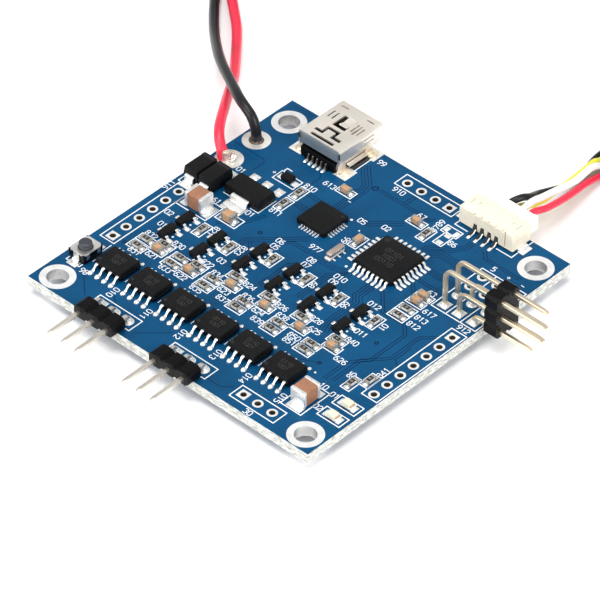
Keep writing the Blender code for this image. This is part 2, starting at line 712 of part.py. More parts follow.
def build_power_leads(frame, finish):
    for name, at in (("black_wire_joint", POWER_BLACK_AT), ("red_wire_joint", POWER_RED_AT)):
        add(name, wire_joint_mesh(), finish["solder"], (*at, 0), parent=frame)
    for name, route, colour in (("black_power_lead", BLACK_ROUTE, "black"), ("red_power_lead", RED_ROUTE, "red")):
        add(name, tube(name, smooth_route(route, 5 * POWER_WIRE_R), POWER_WIRE_R), finish[colour], parent=frame)
    half_width = 2 * POWER_WIRE_R + 0.1
    ring = coil_ring(POWER_COIL_R, half_width, POWER_COIL_LAYERS * 2.08 * POWER_WIRE_R)
    add("power_lead_coil", ring, finish["black"], (*POWER_COIL_AT, 0), parent=frame)
    # The pair leaves the ring at its far side, along +X +Y, and runs straight into the plug.
    heading = math.radians(43.5)
    along = Vector((math.cos(heading), math.sin(heading), 0))
    out = Vector((-along.y, along.x, 0))
    reach = plug_reach(POWER_COIL_R, half_width, POWER_PLUG_SIZE[1])
    rear = Vector((*POWER_COIL_AT, 0)) + out * POWER_COIL_R + along * reach
    plug = cable_plug_mesh(POWER_PLUG_SIZE)
    add("power_plug", plug, finish["nylon"], (rear.x, rear.y, FLOOR), (0, 0, heading), frame)


def build_sensor_lead(frame, finish):
    add("sensor_lead", tube("sensor_lead", smooth_route(SENSOR_ROUTE, 2.5 * BUNDLE_R), BUNDLE_R), finish["red"],
        parent=frame)
    half_width = 4.2 * SENSOR_WIRE_R
    ring = coil_ring(SENSOR_COIL_R, half_width, SENSOR_COIL_LAYERS * 2.08 * SENSOR_WIRE_R)
    add("sensor_lead_coil", ring, finish["red"], (*SENSOR_COIL_AT, 0), parent=frame)
    x, y = SENSOR_COIL_AT
    plug = cable_plug_mesh(LEAD_PLUG_SIZE)
    reach = plug_reach(SENSOR_COIL_R, half_width, LEAD_PLUG_SIZE[1])
    add("sensor_lead_plug", plug, finish["nylon"], (x + reach, y + SENSOR_COIL_R, FLOOR), parent=frame)


def main():
    for old in list(bpy.data.objects):
        bpy.data.objects.remove(old)
    finish = {
        "mask": material("solder_mask", (0.01, 0.10, 0.32), 0.35),
        "moulding": material("black_moulding", (0.02, 0.02, 0.022), 0.5),
        "gold": material("gold_plate", (0.85, 0.72, 0.48), 0.3, 1.0),
        "steel": material("plated_steel", (0.72, 0.71, 0.69), 0.3, 1.0),
        "solder": material("solder", (0.75, 0.75, 0.74), 0.3, 1.0),
        "nylon": material("natural_nylon", (0.85, 0.80, 0.68), 0.5),
        "plunger": material("plunger_plastic", (0.06, 0.065, 0.075), 0.5),
        "lens": material("led_lens", (0.85, 0.86, 0.80), 0.3),
        "ceramic": material("capacitor_ceramic", (0.42, 0.22, 0.12), 0.5),
        "black": material("black_insulation", (0.02, 0.02, 0.02), 0.4),
        "red": material("red_insulation", (0.75, 0.03, 0.06), 0.4),
    }
    frame = bpy.data.objects.new("board_frame", None)
    bpy.context.scene.collection.objects.link(frame)
    build_board(frame, finish)
    build_chips(frame, finish)
    build_passives(frame, finish)
    build_motor_headers(frame, finish)
    build_servo_header(frame, finish)
    build_usb_socket(frame, finish)
    build_button(frame, finish)
    build_sensor_socket(frame, finish)
    build_power_leads(frame, finish)
    build_sensor_lead(frame, finish)


main()
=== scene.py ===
"""Looks of a bare two-channel brushless motor controller board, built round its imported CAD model.

Sizes and places are in millimetres in the row frame and become metres as each mesh is made. The origin
is on the underside of the board, at the centre of its four mounting holes, with +Z out of the top face.
"""

import math

import bmesh
import bpy
from mathutils import Matrix, Vector


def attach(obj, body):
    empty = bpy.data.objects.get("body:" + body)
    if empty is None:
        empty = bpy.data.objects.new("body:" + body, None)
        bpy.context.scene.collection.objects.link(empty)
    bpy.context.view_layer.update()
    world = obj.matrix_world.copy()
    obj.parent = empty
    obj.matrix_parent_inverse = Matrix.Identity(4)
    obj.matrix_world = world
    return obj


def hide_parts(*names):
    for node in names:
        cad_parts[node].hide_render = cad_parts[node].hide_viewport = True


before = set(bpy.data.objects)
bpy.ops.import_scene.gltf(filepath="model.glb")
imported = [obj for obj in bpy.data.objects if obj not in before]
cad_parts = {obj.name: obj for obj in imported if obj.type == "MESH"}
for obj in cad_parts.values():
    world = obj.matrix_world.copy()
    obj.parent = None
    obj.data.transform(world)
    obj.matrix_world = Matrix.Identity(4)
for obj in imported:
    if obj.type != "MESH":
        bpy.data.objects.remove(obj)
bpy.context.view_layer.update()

MM = 0.001  # metres in a millimetre
TOP = 1.6  # top face of the board
FLOOR = -1.3  # the pin tails stand on it
PITCH = 2.54  # of the pins and the rows of holes
COPPER = 0.035  # height of a bare pad over the board
INK = 0.02  # height of the white print
MOUNT_HALF = 22.5  # half the square of mounting holes
PRINT_LOW = TOP + 0.004  # where print starts, a hair over the mask
HALF_TURN, QUARTER_TURN = math.pi, math.pi / 2


# ---------------------------------------------------------------- shapes

class Shape:
    """Vertices in millimetres, and faces that each carry the number of their finish."""

    def __init__(self):
        self.verts, self.faces, self.finish = [], [], []

    def add(self, part, finish=0, at=(0, 0), turn=0.0):
        """Adds vertices and faces, turned about Z and moved to (x, y) or (x, y, z)."""
        verts, faces = part
        base = len(self.verts)
        c, s = math.cos(turn), math.sin(turn)
        right, back, up = (*at, 0)[:3]
        self.verts += [(right + c * x - s * y, back + s * x + c * y, up + z) for x, y, z in verts]
        self.faces += [tuple(base + i for i in face) for face in faces]
        self.finish += [finish] * len(faces)
        return self

    def include(self, other, at=(0, 0), turn=0.0):
        """Adds a whole shape, with its faces in the order of their finishes."""
        for number in sorted(set(other.finish)):
            faces = [f for f, n in zip(other.faces, other.finish) if n == number]
            used = sorted({i for face in faces for i in face})
            index = {old: new for new, old in enumerate(used)}
            part = [other.verts[i] for i in used], [tuple(index[i] for i in face) for face in faces]
            self.add(part, number, at, turn)
        return self

    def pair(self, part, finish, x, y=0.0):
        """Adds a part twice, at x on either side of the middle."""
        return self.add(part, finish, (-x, y)).add(part, finish, (x, y))

    def row(self, count, pitch, *parts):
        """Repeats parts along X about the middle. Each is given with its finish, x and y."""
        for i in range(count):
            for part, finish, x, y in parts:
                self.add(part, finish, ((i - (count - 1) / 2) * pitch + x, y))
        return self

    def around(self, other, count):
        """Includes a shape as often as asked, at even turns about Z."""
        for k in range(count):
            self.include(other, turn=2 * math.pi * k / count)
        return self


def loft(rings, loop=False):
    """Walls through rings of equal count, closed in a loop or capped at both ends."""
    n, count = len(rings[0]), len(rings)
    verts = [point for ring in rings for point in ring]
    faces = []
    for k in range(count if loop else count - 1):
        a, b = k * n, (k + 1) % count * n
        faces += [(a + i, a + (i + 1) % n, b + (i + 1) % n, b + i) for i in range(n)]
    if not loop:
        faces += [tuple(reversed(range(n))), tuple(range((count - 1) * n, count * n))]
    return verts, faces


def rounded(width, depth, radius):
    """Outline of a rectangle with rounded corners, about the Z axis."""
    points, steps = [], 3
    for k, (sx, sy) in enumerate(((1, -1), (1, 1), (-1, 1), (-1, -1))):
        for i in range(steps + 1):
            a = math.radians(90 * (k - 1 + i / steps))
            points.append((sx * (width / 2 - radius) + radius * math.cos(a),
                           sy * (depth / 2 - radius) + radius * math.sin(a)))
    return points


def block(width, depth, low, high, radius=0.1, edge=0.04, draft=0.0, waist=0.5):
    """A moulded block with rounded corners and edges. draft narrows it away from its waist."""
    middle = low + (high - low) * waist
    rings = []
    for z, grow in ((low, -edge - draft), (low + edge, -draft), (middle - 0.01, 0.0), (middle + 0.01, 0.0),
                    (high - edge, -draft), (high - edge * 0.3, -draft - edge * 0.3), (high, -edge - draft)):
        rings.append([(x, y, z) for x, y in rounded(width + 2 * grow, depth + 2 * grow, radius)])
    return loft(rings)


def slab(corner, size):
    (x, y, z), (w, d, h) = corner, size
    base = [(x, y), (x + w, y), (x + w, y + d), (x, y + d)]
    return loft([[(px, py, pz) for px, py in base] for pz in (z, z + h)])


def fillet(points, radius, steps=3, loop=False):
    """The same polyline with its inner corners rounded, or a closed outline with all of them."""
    line = [Vector(p) for p in points]
    out = [] if loop else [line[0]]
    corners = zip(line[-1:] + line, line, line[1:] + line[:1]) if loop else zip(line, line[1:], line[2:])
    for a, b, c in corners:
        into, away = b - a, c - b
        cut = min(radius, into.length * 0.45, away.length * 0.45)
        start, end = b - into.normalized() * cut, b + away.normalized() * cut
        for i in range(steps + 1):
            t = i / steps
            out.append(start * (1 - t) ** 2 + b * 2 * t * (1 - t) + end * t * t)
    return out if loop else out + [line[-1]]


def sweep(path, section, up=(0, 0, 1), loop=False, share=None):
    """A section of (side, up) pairs carried along a path, mitred at its corners."""
    line, up = [Vector(p) for p in path], Vector(up)
    count, rings = len(line), []
    for k, point in enumerate(line):
        before = (point - line[k - 1] if k or loop else line[1] - point).normalized()
        after = (line[(k + 1) % count] - point).normalized() if k + 1 < count or loop else before
        along = (before + after).normalized()
        side = along.cross(up).normalized() / max(along.dot(before), 0.4)
        size = share[k] if share else 1.0
        rings.append([tuple(point + side * a * size + up * b * size) for a, b in section])
    return loft(rings, loop)


def bar(half_a, half_b, chamfer=0.0):
    """Section of a bar, with small chamfers if asked."""
    if not chamfer:
        return [(-half_a, -half_b), (half_a, -half_b), (half_a, half_b), (-half_a, half_b)]
    a, b, in_a, in_b = half_a, half_b, half_a - chamfer, half_b - chamfer
    return [(-in_a, -b), (in_a, -b), (a, -in_b), (a, in_b), (in_a, b), (-in_a, b), (-a, in_b), (-a, -in_b)]


def strip(points, thick, width, radius=0.25):
    """A bent metal strip whose centreline is in the YZ plane and whose width lies along X."""
    path = fillet([(0, y, z) for y, z in points], radius)
    return sweep(path, bar(thick / 2, width / 2, thick * 0.2), up=(1, 0, 0))


def lathe(profile, segments=24, centre=(0, 0)):
    """A surface turned about a vertical axis from (radius, height) pairs."""
    verts, faces, rows = [], [], []
    for radius, z in profile:
        count = 1 if radius == 0 else segments
        rows.append((len(verts), count))
        for i in range(count):
            a = 2 * math.pi * i / segments
            verts.append((centre[0] + radius * math.cos(a), centre[1] + radius * math.sin(a), z))
    for (a, na), (b, nb) in zip(rows, rows[1:]):
        for i in range(segments):
            j = (i + 1) % segments
            corners = [a + i % na, a + j % na, b + j % nb, b + i % nb]
            face = tuple(dict.fromkeys(corners))
            if len(face) > 2:
                faces.append(face)
    return verts, faces


def ring_about(section, segments, reach=lambda angle, outer: outer, centre=(0, 0)):
    """A closed section of (radius, height) pairs carried round a vertical axis. reach may change a radius."""
    rings = []
    for i in range(segments):
        a = 2 * math.pi * i / segments
        rings.append([(centre[0] + reach(a, r) * math.cos(a), centre[1] + reach(a, r) * math.sin(a), z)
                      for r, z in section])
    return loft(rings, loop=True)


def ring_section(inner, outer, low, high):
    return (inner, low), (outer, low), (outer, high), (inner, high)


def blob(rx, ry, height, segments=12, rings=4, low=0.02):
    """A low mound of solder on an elliptical foot."""
    rise = [math.pi / 2 * k / rings for k in range(rings)]
    verts, faces = lathe([(math.cos(a), math.sin(a)) for a in rise] + [(0, 1)], segments)
    faces.append(tuple(reversed(range(segments))))
    return [(x * rx, y * ry, low + z * height) for x, y, z in verts], faces


def copper(width, depth, radius=0.1, thick=COPPER):
    """A bare pad that lies a hair over the face under it."""
    return block(width, depth, 0.002, thick, radius, 0.012)


# ---------------------------------------------------------------- finishes

def add_node(tree, kind, sources=(), **values):
    """A shader node: values set its inputs by name, and sources link other nodes' outputs to its inputs."""
    made = tree.nodes.new("ShaderNode" + kind)
    for name, value in values.items():
        made.inputs[name.replace("_", " ")].default_value = value
    for output, name in sources:
        tree.links.new(output, made.inputs[name])
    return made


def add_ramp(tree, source, low, low_colour, high, high_colour):
    """The colour output of a ramp between two colours at two places."""
    ramp = add_node(tree, "ValToRGB", [(source, "Fac")])
    for stop, position, colour in zip(ramp.color_ramp.elements, (low, high), (low_colour, high_colour)):
        stop.position, stop.color = position, (*colour, 1)
    return ramp.outputs["Color"]


def add_math(tree, operation, first, second=None, value=0.0):
    """The output of a math node on one or two outputs, or on one output and a value."""
    made = add_node(tree, "Math", [(first, 0)] + ([(second, 1)] if second else []))
    made.operation = operation
    if not second:
        made.inputs[1].default_value = value
    return made.outputs["Value"]


def add_relief(tree, shader, height, strength, distance):
    relief = add_node(tree, "Bump", [(height, "Height")], Strength=strength, Distance=distance * MM)
    tree.links.new(relief.outputs["Normal"], shader.inputs["Normal"])


def finish(name, colour, rough, metal=0.0, grain=900.0, vary=0.12, bump=0.0, fine=6000.0, rough_vary=0.08,
           level=0.5, coat=0.0, second=None):
    """A procedural finish: colour and roughness drift with one noise, and a finer one gives the bump."""
    made = bpy.data.materials.new(name)
    made.use_nodes = True
    tree = made.node_tree
    shader = tree.nodes["Principled BSDF"]
    for socket, value in (("Metallic", metal), ("Specular IOR Level", level), ("Coat Weight", coat),
                          ("Coat Roughness", 0.12)):
        shader.inputs[socket].default_value = value
    place = add_node(tree, "TexCoord").outputs["Object"]
    noise = add_node(tree, "TexNoise", [(place, "Vector")], Scale=grain, Detail=5.0).outputs["Fac"]
    dark = [c * (1 - vary) for c in colour]
    light = second or [min(1.0, c * (1 + vary)) for c in colour]
    tree.links.new(add_ramp(tree, noise, 0.3, dark, 0.7, light), shader.inputs["Base Color"])
    spread = add_node(tree, "MapRange", [(noise, "Value")], To_Min=max(0.02, rough - rough_vary),
                      To_Max=min(1.0, rough + rough_vary))
    tree.links.new(spread.outputs["Result"], shader.inputs["Roughness"])
    if bump:
        small = add_node(tree, "TexNoise", [(place, "Vector")], Scale=fine, Detail=3.0)
        add_relief(tree, shader, small.outputs["Fac"], bump, 0.02)
    return made


def board_finish():
    """Blue mask on the two faces, with a faint glass weave, and pale laminate on the cut edges."""
    made = finish("solder_mask", (0.003, 0.06, 0.15), 0.28, 0, 160, 0.14, rough_vary=0.05, level=0.1)
    tree = made.node_tree
    shader, place = tree.nodes["Principled BSDF"], tree.nodes["Texture Coordinate"]
    mask = tree.nodes["Color Ramp"].outputs["Color"]
    weave = []
    for direction in ("X", "Y"):
        wave = add_node(tree, "TexWave", [(place.outputs["Object"], "Vector")], Scale=520.0, Distortion=1.2)
        wave.bands_direction = direction
        weave.append(wave.outputs["Fac"])
    add_relief(tree, shader, add_math(tree, "MULTIPLY", *weave), 0.12, 0.015)

    layers = add_node(tree, "Mapping", [(place.outputs["Object"], "Vector")], Scale=(1.0, 1.0, 3.5))
    speck = add_node(tree, "TexNoise", [(layers.outputs["Vector"], "Vector")], Scale=1300.0, Detail=6.0,
                     Roughness=0.7)
    edge = add_ramp(tree, speck.outputs["Fac"], 0.36, (0.26, 0.27, 0.25), 0.62, (0.8, 0.8, 0.75))
    split = add_node(tree, "SeparateXYZ", [(place.outputs["Normal"], "Vector")])
    flat = add_math(tree, "GREATER_THAN", add_math(tree, "ABSOLUTE", split.outputs["Z"]), value=0.5)
    mix = add_node(tree, "Mix")
    mix.data_type = "RGBA"
    for source, socket in ((flat, "Factor"), (edge, "A"), (mask, "B")):
        tree.links.new(source, mix.inputs[socket])
    tree.links.new(mix.outputs["Result"], shader.inputs["Base Color"])
    return made


MASK = board_finish()
# After the name: colour, roughness, metal, grain, drift of the colour, bump, grain of the bump
TRACE = finish("mask_over_trace_edge", (0.0015, 0.022, 0.07), 0.34, 0, 300, 0.2, level=0.1)
SILK = finish("white_print", (0.8, 0.82, 0.84), 0.6, 0, 5000, 0.1, 0.2)
TIN = finish("tinned_copper", (0.84, 0.84, 0.82), 0.32, 0.75, 1500, 0.12, 0.25, 2500)
SOLDER = finish("bright_solder", (0.88, 0.88, 0.86), 0.24, 0.55, 1200, 0.1, 0.15, 1800)
FLUX = finish("fluxed_solder", (0.74, 0.63, 0.46), 0.35, 0.45, 900, 0.35, 0.5, 1500)
POWER_RING = finish("fluxed_ring", (0.84, 0.815, 0.76), 0.36, 0.6, 500, 0.18, 0.12)
RING = finish("plated_ring", (0.86, 0.86, 0.85), 0.34, 0.55, 900, 0.08, 0.12)
# Painted shade: the small holes' plating is dark brown, standing for the shade inside them.
BARREL_IN_PAINTED_SHADE = finish("shaded_plating", (0.16, 0.12, 0.085), 0.45, 0.6, 2500, 0.3, 0.2)
# Painted shade: the mounting holes' plating is greyer than the rings, standing for the shade in the holes.
HOLE_WALL_IN_PAINTED_SHADE = finish("hole_plating_in_painted_shade", (0.62, 0.62, 0.61), 0.3, 0.8, 700, 0.12, 0.12)
# Painted shade: near-black metal for leads and a slab that stand in shade.
LEAD_IN_PAINTED_SHADE = finish("lead_in_shade", (0.1, 0.095, 0.09), 0.3, 1, 1800, 0.3, 0.2)
# Painted shade: the end caps' tin grey is darkened to stand for their shaded sides.
TERMINAL_IN_PAINTED_SHADE = finish("chip_terminal_in_painted_shade", (0.4, 0.385, 0.34), 0.36, 0.7, 2500, 0.18, 0.2)
LEAD = finish("tinned_lead", (0.87, 0.87, 0.86), 0.28, 0.6, 1800, 0.08, 0.06)
EPOXY = finish("black_epoxy", (0.0048, 0.005, 0.0056), 0.42, 0, 2500, 0.3, 0.3, 14000, level=0.13)
DIMPLE = finish("dimple_in_epoxy", (0.012, 0.012, 0.013), 0.3, 0, 2500, 0.2, 0.2, level=0.25)
BLOCK = finish("black_header_plastic", (0.0032, 0.0032, 0.0038), 0.3, 0, 1500, 0.25, 0.2, level=0.1)
GOLD = finish("pale_gold_pin", (0.84, 0.73, 0.55), 0.3, 0.95, 260, 0.1, 0, 900)
SILVERED = finish("pale_tinned_pin", (0.8, 0.75, 0.67), 0.28, 0.95, 260, 0.08, 0, 900)
STEEL = finish("plated_shell", (0.88, 0.82, 0.74), 0.34, 0.8, 200, 0.07, 0.02, 1500)
FLAP = finish("shell_in_shade", (0.3, 0.35, 0.38), 0.42, 0.7, 200, 0.08, 0.02, 1500)
COVER = finish("button_cover_tin", (0.83, 0.81, 0.77), 0.36, 1, 900, 0.08, 0.3)
NYLON = finish("natural_nylon", (0.76, 0.7, 0.56), 0.45, 0, 700, 0.06, 0.3, 5000)
WHITE_NYLON = finish("white_nylon", (0.86, 0.85, 0.8), 0.42, 0, 700, 0.04, 0.25, 5000)
PLUNGER = finish("plunger_plastic", (0.03, 0.034, 0.044), 0.42, 0, 1500, 0.2, 0.4)
CERAMIC = finish("capacitor_brown", (0.3, 0.135, 0.072), 0.5, 0, 1500, 0.14, 0.3)
TAN = finish("capacitor_tan", (0.44, 0.25, 0.13), 0.5, 0, 2500, 0.14, 0.3)
ALUMINA = finish("alumina", (0.62, 0.6, 0.55), 0.5, 0, 3000, 0.06, 0.3)
ETCH = finish("faint_etching", (0.04, 0.038, 0.034), 0.6, 0, 4000, 0.5, 0.2, level=0.2)
MARK = finish("faint_mark", (0.3, 0.3, 0.29), 0.6, 0, 4000, 0.3, 0.2)
FILM = finish("resistor_film", (0.022, 0.02, 0.018), 0.32, 0, 3000, 0.3, 0.2)
LENS = finish("led_lens", (0.66, 0.67, 0.52), 0.25, 0, 1800, 0.06, 0.1, coat=0.3)
CASE = finish("resonator_case", (0.62, 0.52, 0.46), 0.38, 1, 1500, 0.08, 0.3)
BURNT = finish("scorched_flux", (0.085, 0.065, 0.045), 0.3, 0, 1500, 0.45, 0.5, 1800)
# Painted shade: near-black pieces put in cavities, slots and gaps, where there is only shade.
PAINTED_SHADE = finish("painted_shade_in_gaps", (0.006, 0.006, 0.007), 0.7, 0, 2000, 0.2)
RED_PVC = finish("red_insulation", (0.74, 0.022, 0.058), 0.34, 0, 260, 0.1, 0.25, 2600)
BLACK_PVC = finish("black_insulation", (0.0085, 0.0085, 0.0105), 0.3, 0, 260, 0.25, 0.2, 2600, level=0.28)
YELLOW_PVC = finish("yellow_insulation", (0.84, 0.76, 0.06), 0.36, 0, 260, 0.06, 0.2, 2600)
WHITE_PVC = finish("white_insulation", (0.84, 0.83, 0.81), 0.36, 0, 260, 0.04, 0.2, 2600)
STRANDS = finish("tinned_strands", (0.84, 0.78, 0.68), 0.28, 1, 2000, 0.12, 0.4)


# ---------------------------------------------------------------- pieces

def place(obj, body, slot, nodes):
    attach(obj, body)
    if nodes:
        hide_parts(*nodes)
    return obj


def piece(name, shape, finishes, slot, node=None, at=(0, 0, 0), turn=0.0, bevel=0.0, body="board"):
    """Makes one object of a shape, with its faces turned outwards, and fixes it to a body."""
    placed = Shape().include(shape, at, turn)
    mesh = bpy.data.meshes.new(name)
    mesh.from_pydata([(x * MM, y * MM, z * MM) for x, y, z in placed.verts], [], placed.faces)
    for made in finishes:
        mesh.materials.append(made)
    mesh.polygons.foreach_set("material_index", placed.finish)
    face_outwards(mesh)
    mesh.shade_smooth()
    mesh.set_sharp_from_angle(angle=math.radians(35))
    obj = bpy.data.objects.new(name, mesh)
    bpy.context.scene.collection.objects.link(obj)
    if bevel:
        soft = obj.modifiers.new("soft_edges", "BEVEL")
        soft.width, soft.segments = bevel * MM, 2
        soft.limit_method, soft.angle_limit = "ANGLE", math.radians(40)
    return place(obj, body, slot, (node,) if node else ())


def face_outwards(mesh):
    bm = bmesh.new()
    bm.from_mesh(mesh)
    bmesh.ops.recalc_face_normals(bm, faces=bm.faces)
    bm.to_mesh(mesh)
    bm.free()


def wire(name, points, radius, made, body, slot, nodes):
    """A round wire: one open curve along the points, in millimetres."""
    curve = bpy.data.curves.new(name, "CURVE")
    curve.dimensions = "3D"
    curve.bevel_depth, curve.bevel_resolution, curve.use_fill_caps = radius * MM, 5, True
    line = curve.splines.new("POLY")
    line.points.add(len(points) - 1)
    for target, (x, y, z) in zip(line.points, points):
        target.co = (x * MM, y * MM, z * MM, 1)
    line.use_smooth = True
    curve.materials.append(made)
    obj = bpy.data.objects.new(name, curve)
    bpy.context.scene.collection.objects.link(obj)
    return place(obj, body, slot, nodes)


# ---------------------------------------------------------------- camera, floor and light

def make_camera():
    """Camera on the board's front right side, 41 degrees above the floor, with a long lens."""
    camera = bpy.data.objects.new("camera", bpy.data.cameras.new("camera"))
    bpy.context.scene.collection.objects.link(camera)
    # Directions and place fitted to the board's holes and corners
    right = Vector((0.73126, 0.68207, 0.00635))
    down = Vector((0.45104, -0.47654, -0.75463))
    forward = Vector((-0.51168, 0.55470, -0.65612))
    turned = Matrix((right, -down, -forward)).transposed().to_4x4()
    camera.matrix_world = Matrix.Translation(Vector((0.32905, -0.35610, 0.41830))) @ turned
    camera.data.lens, camera.data.sensor_width = 288.4, 36.0
    camera.data.clip_start, camera.data.clip_end = 0.05, 20.0
    bpy.context.scene.camera = camera


def make_studio():
    """A white floor just under the board's pins, three soft lights and a white world."""
    half, steps = 2.5, 20
    bm = bmesh.new()
    bmesh.ops.create_grid(bm, x_segments=steps, y_segments=steps, size=half)
    mesh = bpy.data.meshes.new("studio_floor")
    bm.to_mesh(mesh)
    bm.free()
    mesh.materials.append(finish("pale_floor", (0.93, 0.93, 0.93), 0.75, grain=6.0, vary=0.01, level=0.1,
                                 second=(0.95, 0.95, 0.95)))
    floor = bpy.data.objects.new("studio_floor", mesh)
    floor.location.z = (FLOOR - 0.04) * MM
    bpy.context.scene.collection.objects.link(floor)
    lights = (
        ("top", (-0.05, -0.15, 1.05), 0.60, 6.5),
        ("left", (-0.25, -0.85, 0.42), 0.60, 5.5),
        ("right", (0.90, -0.05, 0.45), 0.60, 6.5),
    )
    for name, at, size, power in lights:
        lamp = bpy.data.objects.new(name, bpy.data.lights.new(name, "AREA"))
        lamp.data.shape, lamp.data.size, lamp.data.energy = "SQUARE", size, power
        lamp.location = at
        lamp.rotation_euler = (-Vector(at)).to_track_quat("-Z", "Y").to_euler()
        bpy.context.scene.collection.objects.link(lamp)
    world = bpy.data.worlds.new("studio")
    world.use_nodes = True
    world.node_tree.nodes["Background"].inputs["Color"].default_value = (1.0, 1.0, 1.0, 1)
    world.node_tree.nodes["Background"].inputs["Strength"].default_value = 0.62
    bpy.context.scene.world = world
    bpy.context.scene.view_settings.view_transform = "Standard"


make_camera()
make_studio()


# ---------------------------------------------------------------- wires

POWER_R, SENSOR_R = 0.75, 0.5
LAYER = 2.08  # height of a layer of turns, in wire radii

BLACK_ROUTE = (
    (-23.1, 16.5, 2.2),
    (-23.15, 16.45, 3.6),
    (-24.1, 16.6, 5.3),
    (-26.9, 17.4, 6.1),
    (-31.4, 20.2, 5.2),
    (-37.8, 24.7, 3.2),
    (-44.6, 30.7, 0.6),
    (-50.3, 36.6, -0.55),
    (-54.8, 42.1, -0.55),
)
RED_ROUTE = (
    (-23.9, 10.65, 2.65),
    (-25.0, 11.2, 3.7),
    (-26.6, 12.9, 4.3),
    (-29.2, 16.5, 3.8),
    (-32.5, 21.0, 2.4),
    (-35.6, 25.2, 0.9),
    (-39.1, 29.2, -0.2),
    (-44.1, 34.7, -0.55),
    (-48.6, 38.6, -0.55),
    (-52.4, 41.9, -0.55),
)
SENSOR_ROUTES = (
    ((11.8, 28.1, 2.9), (13, 30.2, 3.7), (13.2, 31.9, 3), (12.7, 34.3, 1.8), (12.8, 36.5, 1),
     (12.9, 38.8, 0.2), (12.8, 42, -0.6), (12.2, 45, -0.8), (11.45, 48.6, -0.8)),
    ((13.05, 28.1, 2.6), (13, 30.4, 2.1), (13.6, 31.9, 1.8), (14.1, 34.2, 1.8), (14, 36, 1.8),
     (13.9, 38.1, 1.4), (13.4, 41.3, 0.8), (12.9, 44.4, 0.4), (12.65, 46.2, 0.2), (12.5, 48.6, -0.7)),
    ((14.3, 28.1, 2.9), (14.5, 30.8, 3.5), (14.7, 32.5, 3.3), (14.8, 35, 2.9), (14.8, 37.2, 2.4),
     (14.6, 40.2, 1.8), (13.9, 43.8, 1.2), (13.7, 46, 0.3), (13.55, 48, -0.75)),
    ((15.55, 28.1, 2.9), (15.7, 29.9, 3), (16.2, 31.9, 2.7), (15.9, 36.3, 1.7), (15.1, 41.5, 0.6),
     (14.75, 44.6, -0.3), (14.6, 46.8, -0.8)),
)
POWER_COIL = ((-52.56, 51.86), 7.5, 2, math.radians(43.5))  # centre, radius, whole turns, heading out
SENSOR_COIL = ((20.6, 55.6), 7.5, 3, 0.0)
PER_TURN = 32  # points
POWER_REACH, SENSOR_REACH = 8.3, 9.2  # from the middle of a coil to the rear of its plug


def smooth_route(points, spacing):
    """Points at an even spacing on a smooth curve (Catmull-Rom) through the route's own points."""
    route = [Vector(p) for p in points]
    ends = [2 * route[0] - route[1]] + route + [2 * route[-1] - route[-2]]
    fine = []
    for a, b, c, d in zip(ends, ends[1:], ends[2:], ends[3:]):
        for step in range(12):
            t = step / 12
            fine.append(0.5 * (2 * b + (c - a) * t + (2 * a - 5 * b + 4 * c - d) * t * t
                               + (3 * b - a - 3 * c + d) * t ** 3))
    fine.append(route[-1])
    reach = [0.0]
    for a, b in zip(fine, fine[1:]):
        reach.append(reach[-1] + (b - a).length)
    count = max(2, round(reach[-1] / spacing))
    picked, at = [], 0
    for i in range(count + 1):
        want = reach[-1] * i / count
        while at + 2 < len(fine) and reach[at + 1] < want:
            at += 1
        share = (want - reach[at]) / max(reach[at + 1] - reach[at], 1e-9)
        picked.append(tuple(fine[at].lerp(fine[at + 1], min(share, 1.0))))
    return picked


def coil_and_tail(coil, offset, radius, reach, plug_offset, plug_z):
    """Clockwise turns from the floor up, one layer per turn, then a quarter turn and a tail to the plug."""
    (cx, cy), middle, turns, heading = coil
    ring = middle + offset
    layer = LAYER * radius
    along = Vector((math.cos(heading), math.sin(heading)))
    out = Vector((-along.y, along.x))
    ramp_from, ramp_to = 0.64, 0.82
    points = []
    total = turns * PER_TURN + PER_TURN // 4
    for i in range(total + 1):
        turn = i / PER_TURN
        part = min(max((turn % 1.0 - ramp_from) / (ramp_to - ramp_from), 0.0), 1.0)
        z = FLOOR + radius + layer * (math.floor(turn) + part * part * (3 - 2 * part))
        # The wire comes in on the side away from the heading and goes round by its left.
        angle = 2 * math.pi * turn
        spot = Vector((cx, cy)) + ring * (-along * math.cos(angle) + out * math.sin(angle))
        points.append((spot.x, spot.y, z))
    top = points[-1][2]
    for share, drop in ((0.3, 0.0), (0.62, 0.25), (0.85, 0.75), (1.0, 1.0), (1.2, 1.0)):
        side = ring + (plug_offset - offset) * min(share, 1.0)
        spot = Vector((cx, cy)) + out * side + along * reach * share
        points.append((spot.x, spot.y, top + (plug_z - top) * drop))
    return points


def make_power_leads():
    """Two leads side by side: the black one on the outside of the coil and the red one on the inside."""
    leads = []
    for colour, route, offset, made, nodes in (
            ("black", BLACK_ROUTE, 0.78, BLACK_PVC, ("black_power_lead", "power_lead_coil")),
            ("red", RED_ROUTE, -0.78, RED_PVC, ("red_power_lead",))):
        plug_offset = math.copysign(1.25, offset)
        tail = coil_and_tail(POWER_COIL, offset, POWER_R, POWER_REACH, plug_offset, FLOOR + 2.1)
        path = smooth_route(list(route) + tail, 0.9)
        lead = wire(f"{colour}_power_wire", path, POWER_R, made, "board", f"{colour}_insulation", nodes)
        leads.append((lead, path))
    return leads


